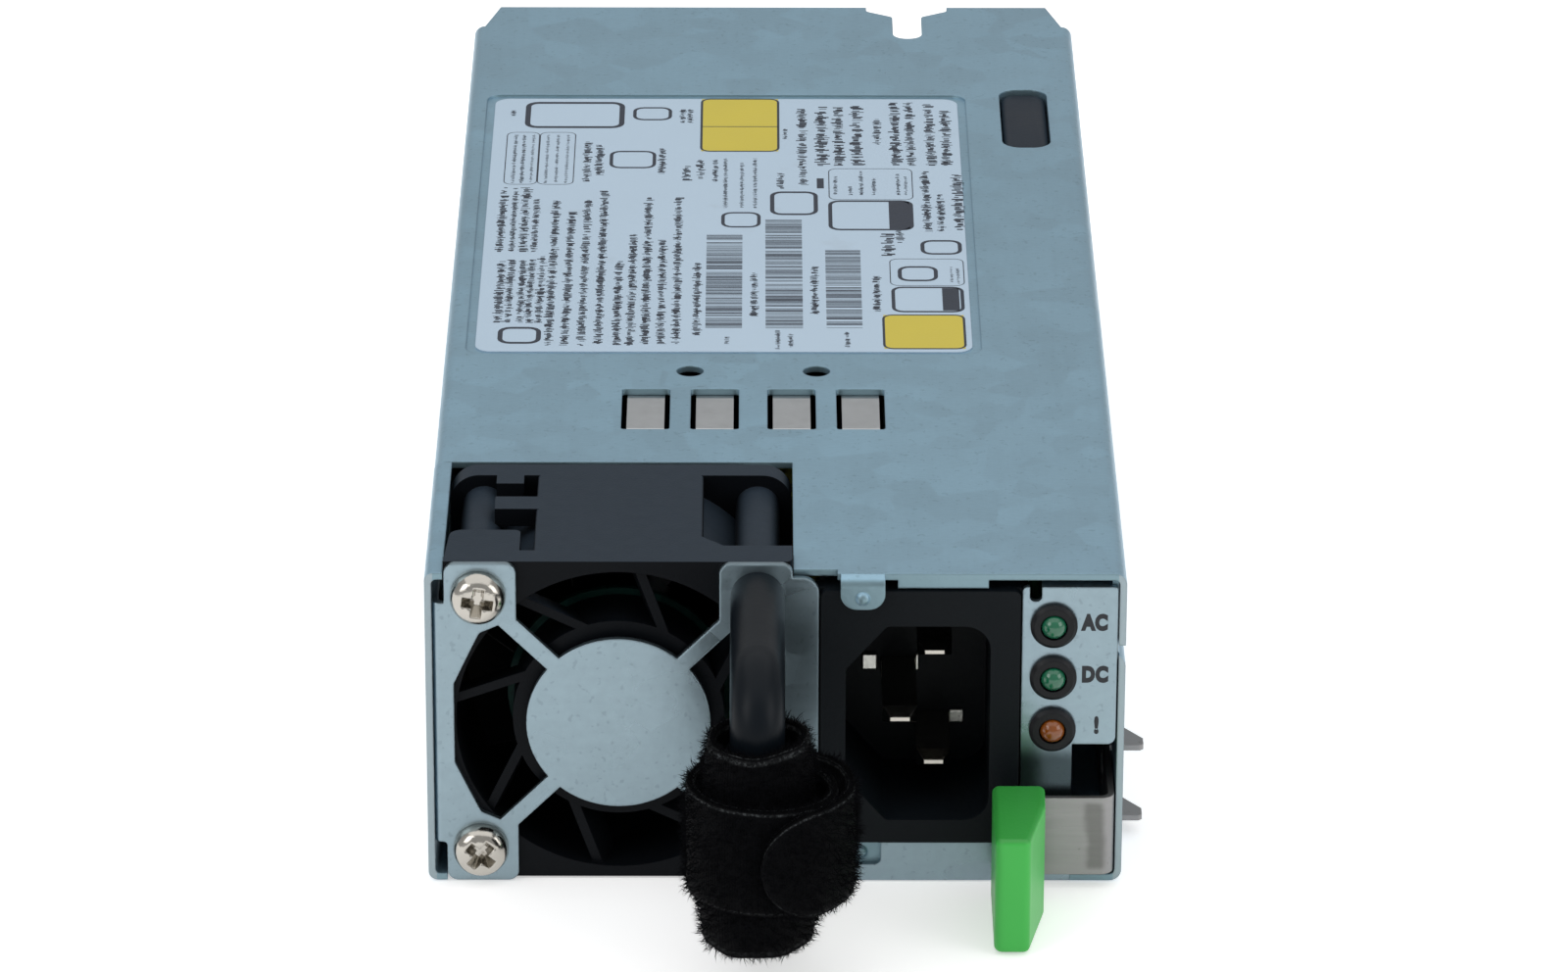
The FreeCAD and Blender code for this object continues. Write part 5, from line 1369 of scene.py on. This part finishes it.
@dataclass
class Studio:
    """A pale floor, soft lamps and the camera of the photograph."""
    yaw: float = 0.23
    pitch: float = 23.53
    roll: float = 0.17
    distance: float = 912.8
    target: Triple = (0.92, 0.0, 49.92)
    lens: float = 184.34
    sensor: float = 36.0
    clip: Pair = (0.01, 20.0)
    sink: float = 0.0002
    floor_half: float = 3.0
    floor_white: float = 0.9
    seen: float = 0.46
    mirrored: float = 0.4
    around: float = 0.42
    lamps: tuple[SoftLamp, ...] = (SoftLamp("over", (0.0, 0.1, 1.3), (0, 0, 0), 2.4, 13.0),
                                   SoftLamp("left", (-1.1, -0.9, 0.8), (0, 0, 0.02), 0.8, 5.0),
                                   SoftLamp("right", (1.2, -0.7, 0.6), (0, 0, 0.02), 0.8, 4.0))

    def camera(self) -> None:
        """Sets the camera from the solved angles."""
        turn = Matrix.Rotation(math.radians(self.yaw), 3, "Z")
        base = Matrix(((1, 0, 0), (0, 0, -1), (0, 1, 0)))
        tip = Matrix.Rotation(math.radians(self.pitch), 3, "X")
        lean = Matrix.Rotation(math.radians(self.roll), 3, "Z")
        view = lean @ tip @ base @ turn
        eye = place(*self.target) - view.transposed() @ Vector((0, 0, self.distance * MM))
        axes = Matrix((view[0], -view[1], -view[2])).transposed()
        data = bpy.data.cameras.new("photo camera")
        data.lens = self.lens
        data.sensor_width = self.sensor
        data.clip_start, data.clip_end = self.clip
        made = put("photo camera", data)
        made.matrix_world = Matrix.Translation(eye) @ axes.to_4x4()
        bpy.context.scene.camera = made

    def light(self) -> None:
        """Sets up the lamps."""
        for lamp in self.lamps:
            data = bpy.data.lights.new(lamp.name, "AREA")
            data.size = lamp.side
            data.energy = lamp.power
            made = put(lamp.name, data)
            made.location = lamp.where
            aim = Vector(lamp.aim) - Vector(lamp.where)
            made.rotation_euler = aim.to_track_quat("-Z", "Y").to_euler()

    def floor(self) -> None:
        """Adds the pale floor, which keeps the shadow."""
        form = bmesh.new()
        bmesh.ops.create_grid(form, x_segments=1, y_segments=1, size=self.floor_half)
        made = put("floor", to_mesh(form, "floor"))
        made.location.z = -self.sink
        material = bpy.data.materials.new("floor")
        material.use_nodes = True
        graph = Graph(material.node_tree)
        graph.feed(material.node_tree.nodes["Principled BSDF"], {
            "Base Color": (*[self.floor_white] * 3, 1.0), "Roughness": 0.9, "Emission Color": WHITE,
            "Emission Strength": graph.ray("Camera") * self.seen + graph.ray("Glossy") * self.mirrored})
        made.data.materials.append(material)

    def world(self) -> None:
        """Sets an even pale surrounding that is white to the camera."""
        world = bpy.data.worlds.new("studio")
        world.use_nodes = True
        bpy.context.scene.world = world
        graph = Graph(world.node_tree)
        strength = self.around + graph.ray("Camera") * (1 - self.around)
        graph.feed(world.node_tree.nodes["Background"], {"Color": WHITE, "Strength": strength})

    def build(self) -> None:
        """Sets up the view, the surroundings, the floor, the lamps and the camera."""
        bpy.context.scene.view_settings.view_transform = "Standard"
        self.world()
        self.floor()
        self.light()
        self.camera()


def main() -> None:
    """Builds the power supply's looks in order."""
    logging.basicConfig(level=logging.INFO, format="%(message)s")
    dress_solids()
    for part in (OvalSlot(), RatingLabel(), EarScrews(), SocketClips(), LampLetters(), CableStrap(),
                 Studio()):
        part.build()
        LOG.info("built: %s", type(part).__name__)


if __name__ == "__main__":
    main()
